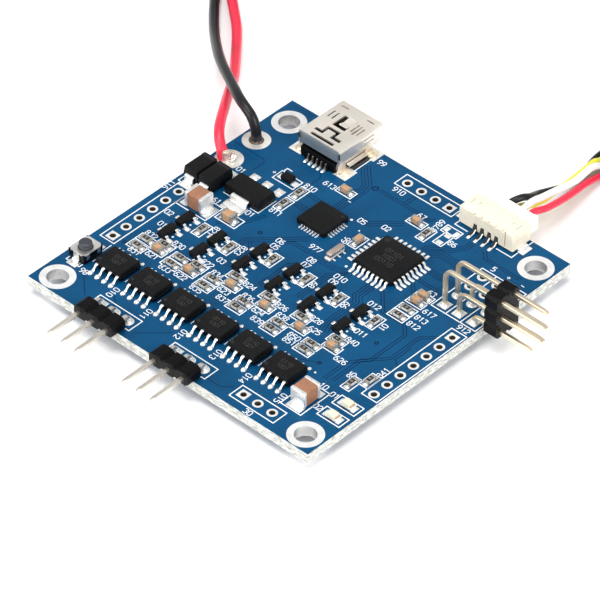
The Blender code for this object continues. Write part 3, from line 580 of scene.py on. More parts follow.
def crimp_plug(name, size, ways, pitch, at, turn, body, node):
    """A crimp housing: a body with a lip at its mating end, cavities at both ends and a latch on top."""
    length, width, height = size
    middle = FLOOR + height / 2
    rings = []
    for x, grow in ((0.0, -0.45), (0.12, -0.35), (0.55, -0.3), (0.7, 0.0), (length * 0.52, 0.0),
                    (length * 0.55, -0.35), (length - 0.15, -0.35), (length, -0.48)):
        profile = rounded(width + 2 * grow, height + 2 * grow, 0.3)
        rings.append([(x, y, middle + 0.02 + z) for y, z in profile])
    shape = Shape().add(loft(rings))
    # The cavities at both ends are near-black, as painted shade.
    cavity = rounded(pitch * 0.72, height * 0.42, 0.1)
    for i in range(ways):
        y = (i - (ways - 1) / 2) * pitch
        for x, deep in ((-0.012, 0.6), (length + 0.012, -0.8)):
            shape.add(loft([[(x + d, y + py * s, middle + pz * s) for py, pz in cavity]
                            for d, s in ((0.0, 1.0), (deep, 0.9))]), 1)
    shape.add(slab((length * 0.12, -width * 0.16, FLOOR + height - 0.32), (length * 0.62, width * 0.32, 0.3)))
    return piece(name, shape, (WHITE_NYLON, PAINTED_SHADE), "natural_nylon", node, at, turn, 0.06, body)


def make_cords():
    leads = make_power_leads()
    centre, middle, _, heading = POWER_COIL
    along = Vector((math.cos(heading), math.sin(heading)))
    rear = Vector(centre) + Vector((-along.y, along.x)) * middle + along * POWER_REACH
    plug = crimp_plug("power_plug_housing", (10.3, 5.9, 4.1), 2, 2.5, (rear.x, rear.y, 0), heading, "board",
                      "power_plug")

    (cx, cy), middle, _, _ = SENSOR_COIL
    rear = (cx + SENSOR_REACH, cy + middle, 0)
    lead_plug = crimp_plug("sensor_lead_plug_housing", (5.9, 7.4, 3.1), 4, 1.25, rear, 0.0, "sensor_plug",
                           "sensor_lead_plug")
    colours = (("black", BLACK_PVC, ("sensor_lead_coil",)), ("yellow", YELLOW_PVC, ("sensor_lead",)),
               ("white", WHITE_PVC, ()), ("red", RED_PVC, ()))
    for k, ((colour, made, nodes), route) in enumerate(zip(colours, SENSOR_ROUTES)):
        offset = 1.575 - 1.05 * k
        tail = coil_and_tail(SENSOR_COIL, offset, SENSOR_R, SENSOR_REACH, 1.875 - 1.25 * k, FLOOR + 1.5)
        path = smooth_route(list(route) + tail, 0.7)
        lead = wire(f"{colour}_sensor_wire", path, SENSOR_R, made, "sensor_plug", "red_insulation", nodes)


make_cords()


# ---------------------------------------------------------------- print, pads and traces

# Strokes of each sign, in hundredths of its height
GLYPHS = {
    "0": (((12, 0), (48, 0), (60, 20), (60, 80), (48, 100), (12, 100), (0, 80), (0, 20), (12, 0)),),
    "1": (((10, 80), (34, 100), (34, 0)),),
    "2": (((0, 80), (14, 100), (46, 100), (60, 80), (60, 60), (0, 0), (60, 0)),),
    "3": (((0, 88), (14, 100), (46, 100), (60, 80), (42, 54), (60, 30), (46, 0), (14, 0), (0, 12)),),
    "4": (((46, 0), (46, 100), (0, 30), (62, 30)),),
    "5": (((58, 100), (4, 100), (2, 58), (42, 60), (60, 40), (60, 20), (42, 0), (0, 0)),),
    "6": (((50, 100), (20, 92), (0, 50), (0, 20), (14, 0), (46, 0), (60, 20), (60, 40), (40, 56), (0, 50)),),
    "7": (((0, 100), (60, 100), (20, 0)),),
    "8": (((14, 54), (0, 76), (14, 100), (46, 100), (60, 76), (46, 54), (14, 54), (0, 30), (14, 0), (46, 0),
           (60, 30), (46, 54)),),
    "9": (((10, 0), (40, 8), (60, 50), (60, 80), (46, 100), (14, 100), (0, 80), (0, 60), (20, 44), (60, 50)),),
    "+": (((0, 50), (60, 50)), ((30, 20), (30, 80))),
    "-": (((0, 50), (60, 50)),),
}


def ink(shape, points, width=0.15, loop=False, z=PRINT_LOW, thick=INK, number=0):
    half = width / 2
    section = [(-half, 0), (half, 0), (half, thick), (-half, thick)]
    shape.add(sweep([(x, y, z) for x, y in points], section, loop=loop), number)


def ink_box(shape, x0, y0, x1, y1):
    ink(shape, [(x0, y0), (x1, y0), (x1, y1), (x0, y1)], loop=True)


def dot(shape, x, y, radius):
    shape.add(lathe(((0, PRINT_LOW), (radius, PRINT_LOW), (radius, TOP + INK), (0, TOP + INK)), 12, (x, y)))


def write(shape, text, x, y, turn=0.0, height=0.86, z=PRINT_LOW, thick=INK, width=0.115, number=0):
    """Digits and signs, centred on a point and turned by quarter turns."""
    step = 0.8 * height
    c, s = math.cos(math.radians(turn)), math.sin(math.radians(turn))
    left = -(step * (len(text) - 1) + 0.6 * height) / 2
    for k, sign in enumerate(text):
        for stroke in GLYPHS[sign]:
            flat = [(left + k * step + px / 100 * height, (py / 100 - 0.5) * height) for px, py in stroke]
            turned = [(x + c * px - s * py, y + s * px + c * py) for px, py in flat]
            ink(shape, turned, width, z=z, thick=thick, number=number)


def ring_pads(shape, x, y, outer, inner=0.3, number=0, square=False, segments=24, thick=COPPER):
    """A ring of copper on each face of the board, with a round or a square outside."""
    def reach(angle, radius):
        if square and radius == outer:
            return radius / max(abs(math.cos(angle)), abs(math.sin(angle)))
        return radius
    for low in (TOP + 0.002, -COPPER):
        shape.add(ring_about(ring_section(inner, outer, low, low + thick), segments, reach, (x, y)), number)


def hole_pad(shape, x, y, outer, inner, square=False, segments=24, wall_number=5):
    """A pad round an empty hole, and the plating in the hole."""
    ring_pads(shape, x, y, outer, inner, 3, square, segments, COPPER - 0.002)
    # The plating in the hole takes a darkened finish, as painted shade.
    wall = ring_section(inner + 0.01, inner + 0.04, 0.004 - COPPER, TOP + COPPER - 0.004)
    shape.add(ring_about(wall, segments, centre=(x, y)), wall_number)


def offset_path(points, distance):
    """The polyline moved sideways, with its corners mitred."""
    line = [Vector(p) for p in points]
    moved = []
    for k, point in enumerate(line):
        before = (point - line[k - 1] if k else line[1] - point).normalized()
        after = (line[k + 1] - point if k + 1 < len(line) else point - line[k - 1]).normalized()
        along = (before + after).normalized()
        moved.append(point + Vector((-along.y, along.x)) * distance / max(along.dot(before), 0.4))
    return moved


# Rows of empty holes: first hole, step to the next, how many, and which one has a square pad
EMPTY_ROWS = (
    ((-23.13, -11.45), (0.0, PITCH), 6, 0),
    ((23.72, 4.38), (0.0, -PITCH), 7, 0),
    ((11.5, -22.46), (PITCH, 0.0), 3, 0),
    ((-1.77, 23.9), (PITCH, 0.0), 4, 3),
)
MOTOR_X = (-11.9, 1.87)
MOTOR_Y = -22.5
SERVO_X, SERVO_Y = 18.62, 8.62
BRIDGE_X = tuple(-17.95 + 6.07 * i for i in range(6))
BRIDGE_Y = -15.75
TRANSISTOR_X = (-18.05, -12.15, -6.2, -0.2, 5.75, 11.9)
TRANSISTOR_Y = ((-2.71, -6.12),) * 2 + ((-0.64, -4.16),) * 4
CONTROLLER = (7.7, 9.7)
USB_CHIP = (-4.65, 10.0)
REGULATOR = (-15.4, 7.1)
DIODES = ((-23.4, 5.9), (-20.65, 5.9))
LEDS = ((22.75, -14.75), (22.8, -17.65))
POWER_PADS = ((-23.1, 16.55), (-23.0, 11.0))
LEVEL_RESISTORS = (
    (-19.23, -9.01), (-19.23, -10.77), (-16.58, -8.19), (-13.22, -8.7), (-13.32, -10.35), (-10.47, -8.29),
    (-7.11, -8.81), (-7.11, -10.56), (-5.17, -6.33), (-1, -9.32), (-1, -10.77), (0.84, -6.33), (5.22, -9.22),
    (5.22, -10.77), (6.64, -6.33), (11.23, -9.32), (11.23, -10.77), (13.16, -6.43), (15.6, 4.42),
    (15.6, 2.76),
)
UPRIGHT_RESISTORS = (
    (-15.26, -2.4), (-9.96, -2.6), (-4.05, -0.44), (1.96, -0.33), (7.76, -0.33), (14.28, -0.33),
    (-10.98, 12.16), (-10.98, 9.07), (21.6, -9.3), (20.2, -11.3), (7.25, 17.6),
)
LEVEL_CAPACITORS = (
    (-16.6, -9.5), (-10.6, -9.75), (-4.46, -8), (1.65, -8), (7.97, -8), (13.57, -7.9), (15.6, 7.8),
    (15.6, 6.4), (4.7, 18.57), (-6.6, 16.8),
)
UPRIGHT_CAPACITORS = ((1.65, 10.2),)
LEVEL_EMPTY, UPRIGHT_EMPTY = (9.4, 20.4), (9.6, 18.5)
SMALL_BOX = (2.75, 1.5)  # the printed box round a resistor or a capacitor
# Corners of the large bare pads
WIDE_PADS = (
    (-18.8, 18.4, -16.6, 20.9), (-10.6, 18.4, -8.25, 20.9), (-10.9, 24.1, -8.25, 26.3),
    (-18.8, 24.1, -16.1, 26.3), (18.5, 23.3, 19.55, 25.25), (7.5, 23.3, 8.6, 25.25),
)

# Numbers printed beside the parts, by their turn in degrees: text and centre
LABELS = {
    0: (
        ("02", -21, -2.8), ("01", -19.95, -5.2), ("830", -15.3, -6.8), ("03", -8.96, -5.2),
        ("822", -9.9, -6.9), ("831", -18.8, -11.75), ("621", -16.5, -10.75), ("833", -13.3, -11.5),
        ("622", -10.75, -11.2), ("835", -7.45, -11.65), ("623", -4.5, -9.4), ("824", -2.65, -6.35),
        ("832", -19.5, -7.75), ("834", -7.45, -7.6), ("837", -3.5, -10.7), ("836", -1.25, -8.15),
        ("98", -20.75, -19.3), ("826", 3.3, -6.5), ("828", 8.4, -5.3), ("625", 9.65, -6.95),
        ("838", 4.7, -7.85), ("624", 1.7, -9.3), ("839", 2.75, -10.65), ("850", 8.5, -9.7),
        ("851", 8.65, -10.8), ("626", 16.1, -8.95), ("011", 14.4, -3.2), ("840", 14.7, -5.2),
        ("10", 17.95, -14.15), ("01", 20.15, -14.5), ("02", 20.1, -17.6), ("30", 14.2, -24.5),
        ("99", -7.2, 24.7), ("910", -1.5, 21.85), ("613", -9.2, 16.35), ("810", -10.7, 14.1),
        ("01", -20.2, 10.4), ("01", -12.9, 4.5), ("811", -10.65, 7.15), ("05", -0.85, 13.75),
        ("977", -1.55, 5.3), ("06", -5.97, 3.15), ("05", -5.8, 1.85), ("61", -18.1, 3.4), ("02", 2.5, 14.9),
        ("67", 4.3, 20), ("86", 11.15, 18.55), ("63", 15.9, 9.1), ("617", 18.35, 5.85), ("813", 18.35, 4.25),
        ("812", 18.4, 2.65), ("912", 23.7, 6.6), ("010", 5, 3.1), ("09", 4.8, 1.9), ("012", 12, 2.1),
        ("08", -0.3, 3.15), ("07", -0.2, 1.9), ("+", -16.55, 13.2), ("+", 21.2, 18.5), ("-", 23.65, 18.5),
        ("5", 18.6, 18.5),
    ),
    90: (
        ("841", 21.8, -6.95), ("85", 19.1, -10.1), ("911", -25.15, 1.4), ("89", 7.1, 20.75),
        ("87", 7.3, 19.35), ("66", 0.2, 9.3),
    ),
    270: (
        ("821", -13.95, -1.5), ("823", -8.5, -1.9), ("010", -14.95, -19.7), ("011", -8.75, -19.8),
        ("012", -2.6, -19.6), ("013", 3.5, -19.3), ("014", 9.46, -20), ("015", 15.45, -19.7),
        ("68", 3.25, -0.4), ("66", 9.15, -0.5), ("01", 15.75, -0.3),
    ),
}
# Grooves beside copper traces: centreline, how many side by side, spacing
GROOVES = (
    (((-20.1, -20.0), (-17.2, -22.7)), 1, 0.4),
    (((-14.4, -20.0), (-13.0, -21.2)), 1, 0.4),
    (((-7.2, -23.6), (-3.6, -20.1)), 1, 0.4),
    (((-8.5, 22.8), (-5.4, 19.7), (-5.2, 18.9), (-5.2, 12.9)), 4, 0.42),
    (((-25.0, 14.25), (-19.5, 14.25), (-19.0, 13.7), (-19.0, 11.6)), 1, 0.4),
    (((-3.5, 20.2), (5.6, 20.2), (6.2, 20.8)), 2, 0.42),
    (((0.9, 22.6), (0.9, 20.5)), 2, 0.5),
    (((-10.2, 12.9), (-7.6, 12.9)), 2, 0.5),
    (((-10.2, 10.3), (-7.6, 10.3)), 3, 0.42),
    (((-3.4, 6.3), (-9.6, 0.1), (-9.6, -1.0)), 3, 0.42),
    (((-1.5, 4.1), (-4.6, 4.1), (-5.6, 3.1)), 2, 0.45),
    (((-1.2, 3.95), (2.6, 3.95), (5.0, 4.6)), 3, 0.42),
    (((3.5, 17.3), (0.2, 14.0), (-1.0, 14.0)), 3, 0.45),
    (((13.0, 20.6), (13.0, 19.2), (11.9, 17.4), (10.4, 17.0), (9.2, 15.6), (9.2, 14.6)), 3, 0.42),
    (((15.3, 20.4), (16.4, 19.3), (22.6, 19.3)), 2, 0.45),
    (((10.2, 14.7), (11.2, 15.9), (17.2, 15.9)), 4, 0.42),
    (((12.6, 12.3), (17.2, 12.3)), 3, 0.42),
    (((12.6, 10.0), (14.6, 10.0), (17.2, 10.0)), 2, 0.42),
    (((12.6, 9.0), (14.9, 6.7), (14.9, 5.0)), 2, 0.42),
    (((5.2, 5.0), (5.2, 4.2), (3.4, 2.4), (3.4, -3.6)), 3, 0.42),
    (((9.0, 5.0), (9.0, 2.0), (9.9, 1.1), (9.9, -4.8), (10.6, -6.4)), 4, 0.42),
    (((10.6, 5.2), (13.6, 2), (17.4, 2), (18.9, 0.5), (18.9, -6.2), (16.9, -8.6), (16.9, -13)), 2, 0.42),
    (((22.2, 3.0), (20.6, 1.4), (20.6, -4.2), (18.0, -7.2), (18.0, -12.6)), 2, 0.42),
    (((22.6, -4.9), (21.2, -4.0), (21.2, -0.8)), 1, 0.42),
    (((5.9, -23.4), (8.3, -23.4), (9.5, -22.2)), 1, 0.4),
    (((-15.0, 0.0), (-12.2, 2.6), (-11.0, 5.8)), 2, 0.42),
    (((-7.6, -4.8), (-7.6, -1.0), (-8.9, 0.3)), 2, 0.42),
    (((-2.0, -5.2), (-2.0, 0.4), (-0.6, 1.6)), 2, 0.42),
    (((-12.1, 17.6), (-11.2, 16.6), (-11.2, 14.8)), 1, 0.42),
    (((14.4, -11.2), (12.0, -12.4)), 1, 0.4),
)
# Vias: centre and radius of the hole
VIAS = ((-4.2, 20.1, 0.42), (-7.2, 17.75, 0.3), (17.2, -3.2, 0.22), (14.4, -11.2, 0.22), (-9.2, 2.6, 0.25),
        (2.2, -13.0, 0.25), (-21.1, -11.3, 0.22), (19.7, 13.1, 0.25), (-17.9, 18.5, 0.22), (9.9, -13.0, 0.22))
# Print: two corners of each box, the points of each line, and the centre and radius of each dot
PRINT_BOXES = (
    (-24.45, -12.55, -21.86, 2.75), (22.4, -11.8, 25.05, 5.75), (10.2, -23.8, 18, -21.2),
    (-3.1, 22.7, 7.23, 25.3), (17.32, 7.36, 25.05, 17.6), (-21.9, -0.7, -16.3, 2.8),
    (-15.9, 0.75, -12.3, 2.8), (-16, 12.2, -12.2, 14.2), (16, -20.3, 19.55, -14.7),
)
PRINT_LINES = (
    ((19.86, 7.4), (19.86, 17.56)),
    ((22.41, 7.4), (22.41, 17.56)),
    ((-24.3, -18.0), (-24.3, -19.1), (-23.9, -19.1)),
    ((-22.3, -19.1), (-21.86, -19.1), (-21.86, -13.0)),
    ((-24.9, 4.3), (-24.9, 3.0), (-22.6, 3.0)),
    ((-15.8, 14.2), (-15.8, 15.0), (-14.9, 15.0)),
    ((-18.7, 5.35), (-17.2, 5.35)),
    ((-13.7, 5.35), (-12.2, 5.35), (-12.2, 8.9)),
    ((8.6, 23.2), (8.6, 21.9), (10.9, 21.9)),
    ((16.0, 21.9), (18.7, 21.9), (18.7, 23.2)),
    ((18.7, 25.4), (18.7, 26.3)),
    ((-8.8, 20.9), (-8.8, 24.1)),
    ((-16.2, 18.75), (-15.5, 18.75)),
    ((-11.6, 18.75), (-10.9, 18.75)),
)
PRINT_DOTS = ((-2.1, 13.0, 0.2), (0.2, 12.0, 0.12), (3.9, 5.4, 0.2))


def make_print():
    """White lines round the parts and between the pins, dots at first pins, and the numbers."""
    shape = Shape()
    for corners in PRINT_BOXES:
        ink_box(shape, *corners)
    for points in PRINT_LINES:
        ink(shape, points)
    for spot in PRINT_DOTS:
        dot(shape, *spot)
    for x in MOTOR_X:
        left, right, front, back = x - 3.86, x + 3.88, -23.75, -21.2
        ink(shape, [(x + 1.6, front), (right, front), (right, back), (left, back), (left, -23.4)])
    for x in BRIDGE_X:
        ink(shape, [(x - 3.38, -17.1), (x - 3.38, -14.5)], 0.12)
        ink(shape, [(x - 2.9, -14.1), (x - 2.9, -12.9), (x - 2.6, -12.6)], 0.1)
        dot(shape, x + 2.9, -12.95, 0.16)
    for x, ys in zip(TRANSISTOR_X, TRANSISTOR_Y):
        for y in ys:
            ink(shape, [(x - 0.1, y + 1.62), (x + 0.75, y + 1.62), (x + 0.75, y + 1.35)], 0.12)
            dot(shape, x + 0.95, y, 0.17)
    half_w, half_d = SMALL_BOX[0] / 2, SMALL_BOX[1] / 2
    for x, y in LEVEL_RESISTORS + LEVEL_CAPACITORS + (LEVEL_EMPTY,):
        ink_box(shape, x - half_w, y - half_d, x + half_w, y + half_d)
    for x, y in UPRIGHT_RESISTORS + UPRIGHT_CAPACITORS + (UPRIGHT_EMPTY,):
        ink_box(shape, x - half_d, y - half_w, x + half_d, y + half_w)
    for x, y in LEDS:
        ink_box(shape, x - 1.95, y - 0.98, x + 1.9, y + 0.98)
    ink(shape, [(-5.1, 15.6), (-4.6, 15.6)], 0.12)
    for turn, labels in LABELS.items():
        for label in labels:
            write(shape, *label, turn)
    piece("board_print", shape, (SILK,), "solder_mask")


def make_traces():
    """The grooves beside copper under the mask, and the rings of the vias."""
    shape = Shape()
    for points, count, spacing in GROOVES:
        for k in range(count):
            path = offset_path(points, (k - (count - 1) / 2) * spacing)
            ink(shape, [tuple(p) for p in path], 0.13, z=TOP + 0.001, thick=0.006)
    for x, y, r in VIAS:
        shape.add(ring_about(ring_section(r * 0.5, r + 0.12, TOP + 0.001, TOP + 0.01), 20, centre=(x, y)))
    piece("board_traces", shape, (TRACE,), "solder_mask")


def soldered_pad(shape, x, y, outer, wide, tall, square):
    """A filled hole: its pads, a cone of solder on top and a longer one round the pin's tail below."""
    ring_pads(shape, x, y, outer, square=square)
    shape.add(lathe(((0.0, TOP), (wide, TOP + 0.03), (wide * 0.86, TOP + 0.12), (wide * 0.66, TOP + 0.3),
                     (0.42, TOP + tall), (0.0, TOP + tall + 0.04)), 16, (x, y)), 1)
    shape.add(lathe(((0.0, 0.0), (wide, -0.03), (wide * 0.8, -0.2), (0.46, -0.6), (0.34, -0.9), (0.0, -0.95)),
                    16, (x, y)), 1)


def make_pads():
    """Pads and platings of every hole, the power pads, and the pads that carry no part."""
    shape = Shape()
    for x in (-MOUNT_HALF, MOUNT_HALF):
        for y in (-MOUNT_HALF, MOUNT_HALF):
            hole_pad(shape, x, y, 2.5, 1.55, segments=64, wall_number=4)
    for (x, y), (dx, dy), count, first in EMPTY_ROWS:
        for i in range(count):
            hole_pad(shape, x + i * dx, y + i * dy, 0.76, 0.45, i == first)
    for column in range(3):
        for row in range(4):
            x, y = SERVO_X + column * PITCH, SERVO_Y + row * PITCH
            if row < 2:
                soldered_pad(shape, x, y, 0.78, 0.66, 0.4, row == 0)
            else:
                hole_pad(shape, x, y, 0.8, 0.45)
    for middle in MOTOR_X:
        for i in (-1, 0, 1):
            soldered_pad(shape, middle + i * PITCH, MOTOR_Y, 0.82, 0.74, 0.62, i == -1)
    for x, y in POWER_PADS:
        ring_pads(shape, x, y, 2.05, 0.4, 6)
    for x0, y0, x1, y1 in WIDE_PADS:
        shape.add(copper(x1 - x0, y1 - y0), 2, ((x0 + x1) / 2, (y0 + y1) / 2, TOP))
    lands = Shape().pair(copper(0.75, 0.95), 1, 0.86)
    shape.include(lands, (*LEVEL_EMPTY, TOP)).include(lands, (*UPRIGHT_EMPTY, TOP), QUARTER_TURN)
    piece("bare_pads", shape, (TIN, SOLDER, RING, RING, HOLE_WALL_IN_PAINTED_SHADE, BARREL_IN_PAINTED_SHADE, POWER_RING), "solder")


# ---------------------------------------------------------------- small parts

def chip_part(length, width, height, end):
    """A chip resistor or capacitor on its pads: length along X."""
    foot = length / 2 + 0.06
    shape = Shape().add(block(length - 0.12, width, 0.05, height, 0.04, 0.03))
    # The end caps are darkened as painted shade.
    shape.pair(block(end, width + 0.03, 0.04, height + 0.03, 0.05, 0.03), 2, (length - end) / 2)
    shape.pair(copper(0.7, width + 0.05), 3, foot)
    return shape.pair(blob(0.36, width * 0.4, height * 0.42), 3, foot)


def etch(shape, rows, x, height, z, width=0.07):
    """Faint marks on a chip: rows of 0 and 1, each with its place in Y."""
    for text, y in rows:
        write(shape, text, x, y, 0, height, z - 0.002, 0.006, width, 4)


def make_small_parts():
    resistor = chip_part(1.6, 0.82, 0.46, 0.3).add(block(0.98, 0.74, 0.44, 0.5, 0.05, 0.02), 1)
    etch(resistor, (("0", 0),), 0, 0.3, 0.5)
    resistors, capacitors = Shape(), Shape()
    for shape, part, level, upright in (
            (resistors, resistor, LEVEL_RESISTORS, UPRIGHT_RESISTORS),
            (capacitors, chip_part(1.6, 0.85, 0.85, 0.34), LEVEL_CAPACITORS, UPRIGHT_CAPACITORS)):
        for x, y in level:
            shape.include(part, (x, y, TOP))
        for x, y in upright:
            shape.include(part, (x, y, TOP), QUARTER_TURN)
    capacitors.include(chip_part(2.0, 1.25, 1.25, 0.42), (-14.1, 1.65, TOP))
    piece("chip_resistors", resistors, (ALUMINA, FILM, TERMINAL_IN_PAINTED_SHADE, TIN, MARK), "black_moulding")
    piece("small_capacitors", capacitors, (TAN, TAN, TERMINAL_IN_PAINTED_SHADE, TIN), "capacitor_ceramic")


def big_capacitor(node, at, turn):
    length, width, height, end = 3.2, 2.4, 2.45, 0.6
    shape = Shape().add(block(length - 0.2, width, 0.1, height, 0.16, 0.1))
    shape.pair(block(end, width + 0.08, 0.06, height + 0.04, 0.16, 0.1), 1, (length - end) / 2)
    shape.pair(copper(1.25, 2.5), 1, length / 2 + 0.3)
    shape.pair(blob(0.62, 1.12, 0.6, 20, 5), 2, length / 2 + 0.02)
    piece(f"{node}_body", shape, (CERAMIC, TIN, SOLDER), "capacitor_ceramic", node, (*at, TOP), turn)


def gull(inner, knee, foot, end, height, thick, width, neck=0.0):
    """A gull-wing lead along +Y, from inside the body to a foot on the board, narrower half-way down."""
    low, middle = thick * 0.55, (knee + foot) / 2
    path = fillet([(0, inner, height), (0, knee, height), (0, middle, (height + low) / 2), (0, foot, low),
                   (0, end, low)], 0.2)
    share = [1.0 - neck * max(0.0, 1.0 - abs(point.y - middle) / (foot - middle)) for point in path]
    return sweep(path, bar(thick / 2, width / 2, thick * 0.2), up=(1, 0, 0), share=share)


def dimple(x, y, z, radius):
    """A shallow round mark that shows which corner is pin one."""
    low = z + 0.001
    return lathe(((0.0, low), (radius * 0.7, low), (radius, z + 0.006), (radius * 1.06, z)), 20, (x, y))


def make_chips():
    bridge = Shape().add(block(4.9, 3.9, 0.12, 1.46, 0.1, 0.05, draft=0.12, waist=0.45))
    bridge.add(dimple(-1.9, -1.4, 1.46, 0.26), 2)
    etch(bridge, (("0110", 0.45), ("1001", -0.45)), 0.1, 0.6, 1.46)
    back = Shape().row(4, 1.27, (gull(1.75, 2.05, 2.4, 2.85, 0.80, 0.2, 0.36), 1, 0, 0),
                       (blob(0.24, 0.3, 0.2, 20, 7), 3, 0, 2.8), (copper(0.384, 0.5, 0.2), 3, 0, 2.8))
    front = Shape().row(4, 1.27, (gull(1.75, 2.12, 2.8, 3.1, 0.82, 0.2, 0.42, 0.4), 1, 0, 0),
                        (blob(0.36, 0.46, 0.34, 20, 7), 3, 0, 3.24), (copper(0.576, 0.8, 0.2), 3, 0, 3.24))
    bridge.include(back).include(front, turn=HALF_TURN)
    for k, x in enumerate(BRIDGE_X, 1):
        piece(f"bridge_chip_{k}_body", bridge, (EPOXY, LEAD, DIMPLE, SOLDER, ETCH), "black_moulding",
              f"bridge_chip_{k}", (x, BRIDGE_Y, TOP))

    transistor = Shape().add(block(1.3, 2.9, 0.08, 1.02, 0.08, 0.05, draft=0.1, waist=0.5))
    for y, side in ((0.95, 1), (-0.95, 1), (0.0, -1)):
        transistor.add(gull(0.5, 0.78, 0.95, 1.3, 0.52, 0.14, 0.42), 1, (0, y), -side * QUARTER_TURN)
        transistor.add(blob(0.42, 0.34, 0.26, 12, 3), 2, (side * 1.18, y))
        transistor.add(copper(0.95, 0.72), 2, (side * 1.2, y))
    spots = [(x, y, TOP) for x, ys in zip(TRANSISTOR_X, TRANSISTOR_Y) for y in ys]
    for k, spot in enumerate(spots, 1):
        piece(f"driver_transistor_{k}_body", transistor, (EPOXY, LEAD, SOLDER), "black_moulding",
              f"driver_transistor_{k}", spot)

    chip = Shape().add(block(7.0, 7.0, 0.1, 1.1, 0.35, 0.06, draft=0.12, waist=0.5))
    chip.add(dimple(-2.6, 2.6, 1.1, 0.4), 2)
    etch(chip, (("01101", 1.1), ("1001", 0.0), ("00110", -1.1)), 0.0, 0.75, 1.1, 0.08)
    side = Shape().row(8, 0.8, (gull(3.3, 3.72, 3.98, 4.6, 0.6, 0.15, 0.36), 1, 0, 0),
                       (copper(0.44, 0.9, thick=0.05), 3, 0, 4.42),
                       (blob(0.2, 0.3, 0.16, 10, 3, 0.03), 3, 0, 4.62))
    piece("controller_chip_body", chip.around(side, 4), (EPOXY, LEAD, DIMPLE, SOLDER, ETCH), "black_moulding",
          "controller_chip", (*CONTROLLER, TOP))

    chip = Shape().add(block(5.0, 5.0, 0.04, 0.88, 0.12, 0.04)).add(dimple(1.9, 1.9, 0.88, 0.22), 2)
    side = Shape().row(7, 0.5, (copper(0.25, 0.56, 0.08, 0.05), 3, 0, 2.86),
                       (block(0.25, 0.04, 0.03, 0.24, 0.01, 0.01), 3, 0, 2.505))
    piece("usb_bridge_chip_body", chip.around(side, 4), (EPOXY, LEAD, DIMPLE, SOLDER), "black_moulding",
          "usb_bridge_chip", (*USB_CHIP, TOP))


def make_power_parts():
    shape = Shape().add(block(6.5, 3.5, 0.1, 1.65, 0.12, 0.06, draft=0.16, waist=0.45))
    shape.row(3, 2.3, (gull(1.5, 2.05, 2.35, 3.35, 0.85, 0.26, 0.74), 1, 0, 0),
              (copper(1.35, 1.55, 0.12), 2, 0, 3.3), (blob(0.62, 0.66, 0.34, 14, 3), 2, 0, 3.3))
    shape.add(gull(1.5, 2.05, 2.35, 3.6, 0.85, 0.26, 3.0), 1, turn=HALF_TURN)
    shape.add(copper(3.5, 2.0, 0.12), 2, (0, -3.15))
    shape.add(block(3.3, 1.55, 0.01, 0.36, 0.35, 0.16), 2, (0, -3.1))
    piece("regulator_chip_body", shape, (EPOXY, LEAD, SOLDER), "black_moulding", "regulator_chip",
          (*REGULATOR, TOP))

    end = Shape().add(gull(1.9, 2.38, 2.46, 2.98, 1.15, 0.2, 1.5), 1)
    end.add(copper(1.9, 1.5, 0.12), 2, (0, 2.85)).add(blob(0.85, 0.55, 0.6, 16, 4), 2, (0, 2.8))
    shape = Shape().add(block(2.6, 4.3, 0.1, 2.28, 0.1, 0.06, draft=0.14, waist=0.45))
    shape.add(block(2.36, 0.4, 2.275, 2.29, 0.04, 0.005), 3, (0, 1.5)).around(end, 2)
    for k, at in enumerate(DIODES, 1):
        piece(f"input_diode_{k}_body", shape, (EPOXY, LEAD, SOLDER, DIMPLE), "black_moulding",
              f"input_diode_{k}", (*at, TOP))

    big_capacitor("input_capacitor", (-19.0, 0.95), 0.0)
    big_capacitor("bridge_capacitor", (17.9, -17.6), QUARTER_TURN)

    shape = Shape().add(block(1.8, 1.3, 0.08, 0.95, 0.08, 0.05, draft=0.08))
    shape.pair(copper(0.9, 1.0), 1, 1.25).pair(block(0.5, 0.6, 0.03, 0.2, 0.05, 0.03), 1, 1.12)
    piece("clamp_diode", shape, (EPOXY, SOLDER), "black_moulding", at=(-14.0, 13.2, TOP))

    shape = Shape().add(block(0.8, 2.9, 0.06, 0.45, 0.12, 0.04), 1)
    shape.add(block(0.95, 0.5, 0.02, 0.34, 0.12, 0.05), 1, (0, -1.45))
    shape.add(block(0.95, 3.0, 0.44, 0.98, 0.26, 0.1))
    for y in (-1, 0, 1):
        shape.add(block(0.14, 0.2, 0.05, 0.46, 0.05, 0.02), 2, (0.46, y))
        shape.add(block(0.5, 0.22, 0.002, 0.14, 0.08, 0.03), 2, (0.72, y))
    piece("resonator", shape, (CASE, ALUMINA, SOLDER), "plated_steel", at=(1.2, 6.2, TOP))

    shape = Shape().add(block(2.0, 1.25, 0.05, 0.34, 0.05, 0.03))
    shape.add(block(1.3, 1.16, 0.33, 0.82, 0.1, 0.08, draft=0.05, waist=0.1), 1)
    shape.add(block(0.16, 1.0, 0.34, 0.46, 0.04, 0.02), 2, (0.74, 0))
    # A thin near-black bar in front of the body is painted shade.
    shape.add(block(0.9, 0.12, 0.0, 0.12, 0.03, 0.01), 4, (0, -0.66))
    shape.pair(block(0.36, 1.27, 0.04, 0.37, 0.05, 0.02), 3, 0.84)
    shape.pair(copper(0.75, 1.22), 3, 1.1).pair(blob(0.3, 0.52, 0.24, 14, 4), 3, 1.08)
    for k, at in enumerate(LEDS, 1):
        piece(f"status_led_{k}_body", shape, (ALUMINA, LENS, TAN, SOLDER, PAINTED_SHADE), "led_lens",
              f"status_led_{k}", (*at, TOP))


# ---------------------------------------------------------------- headers and button

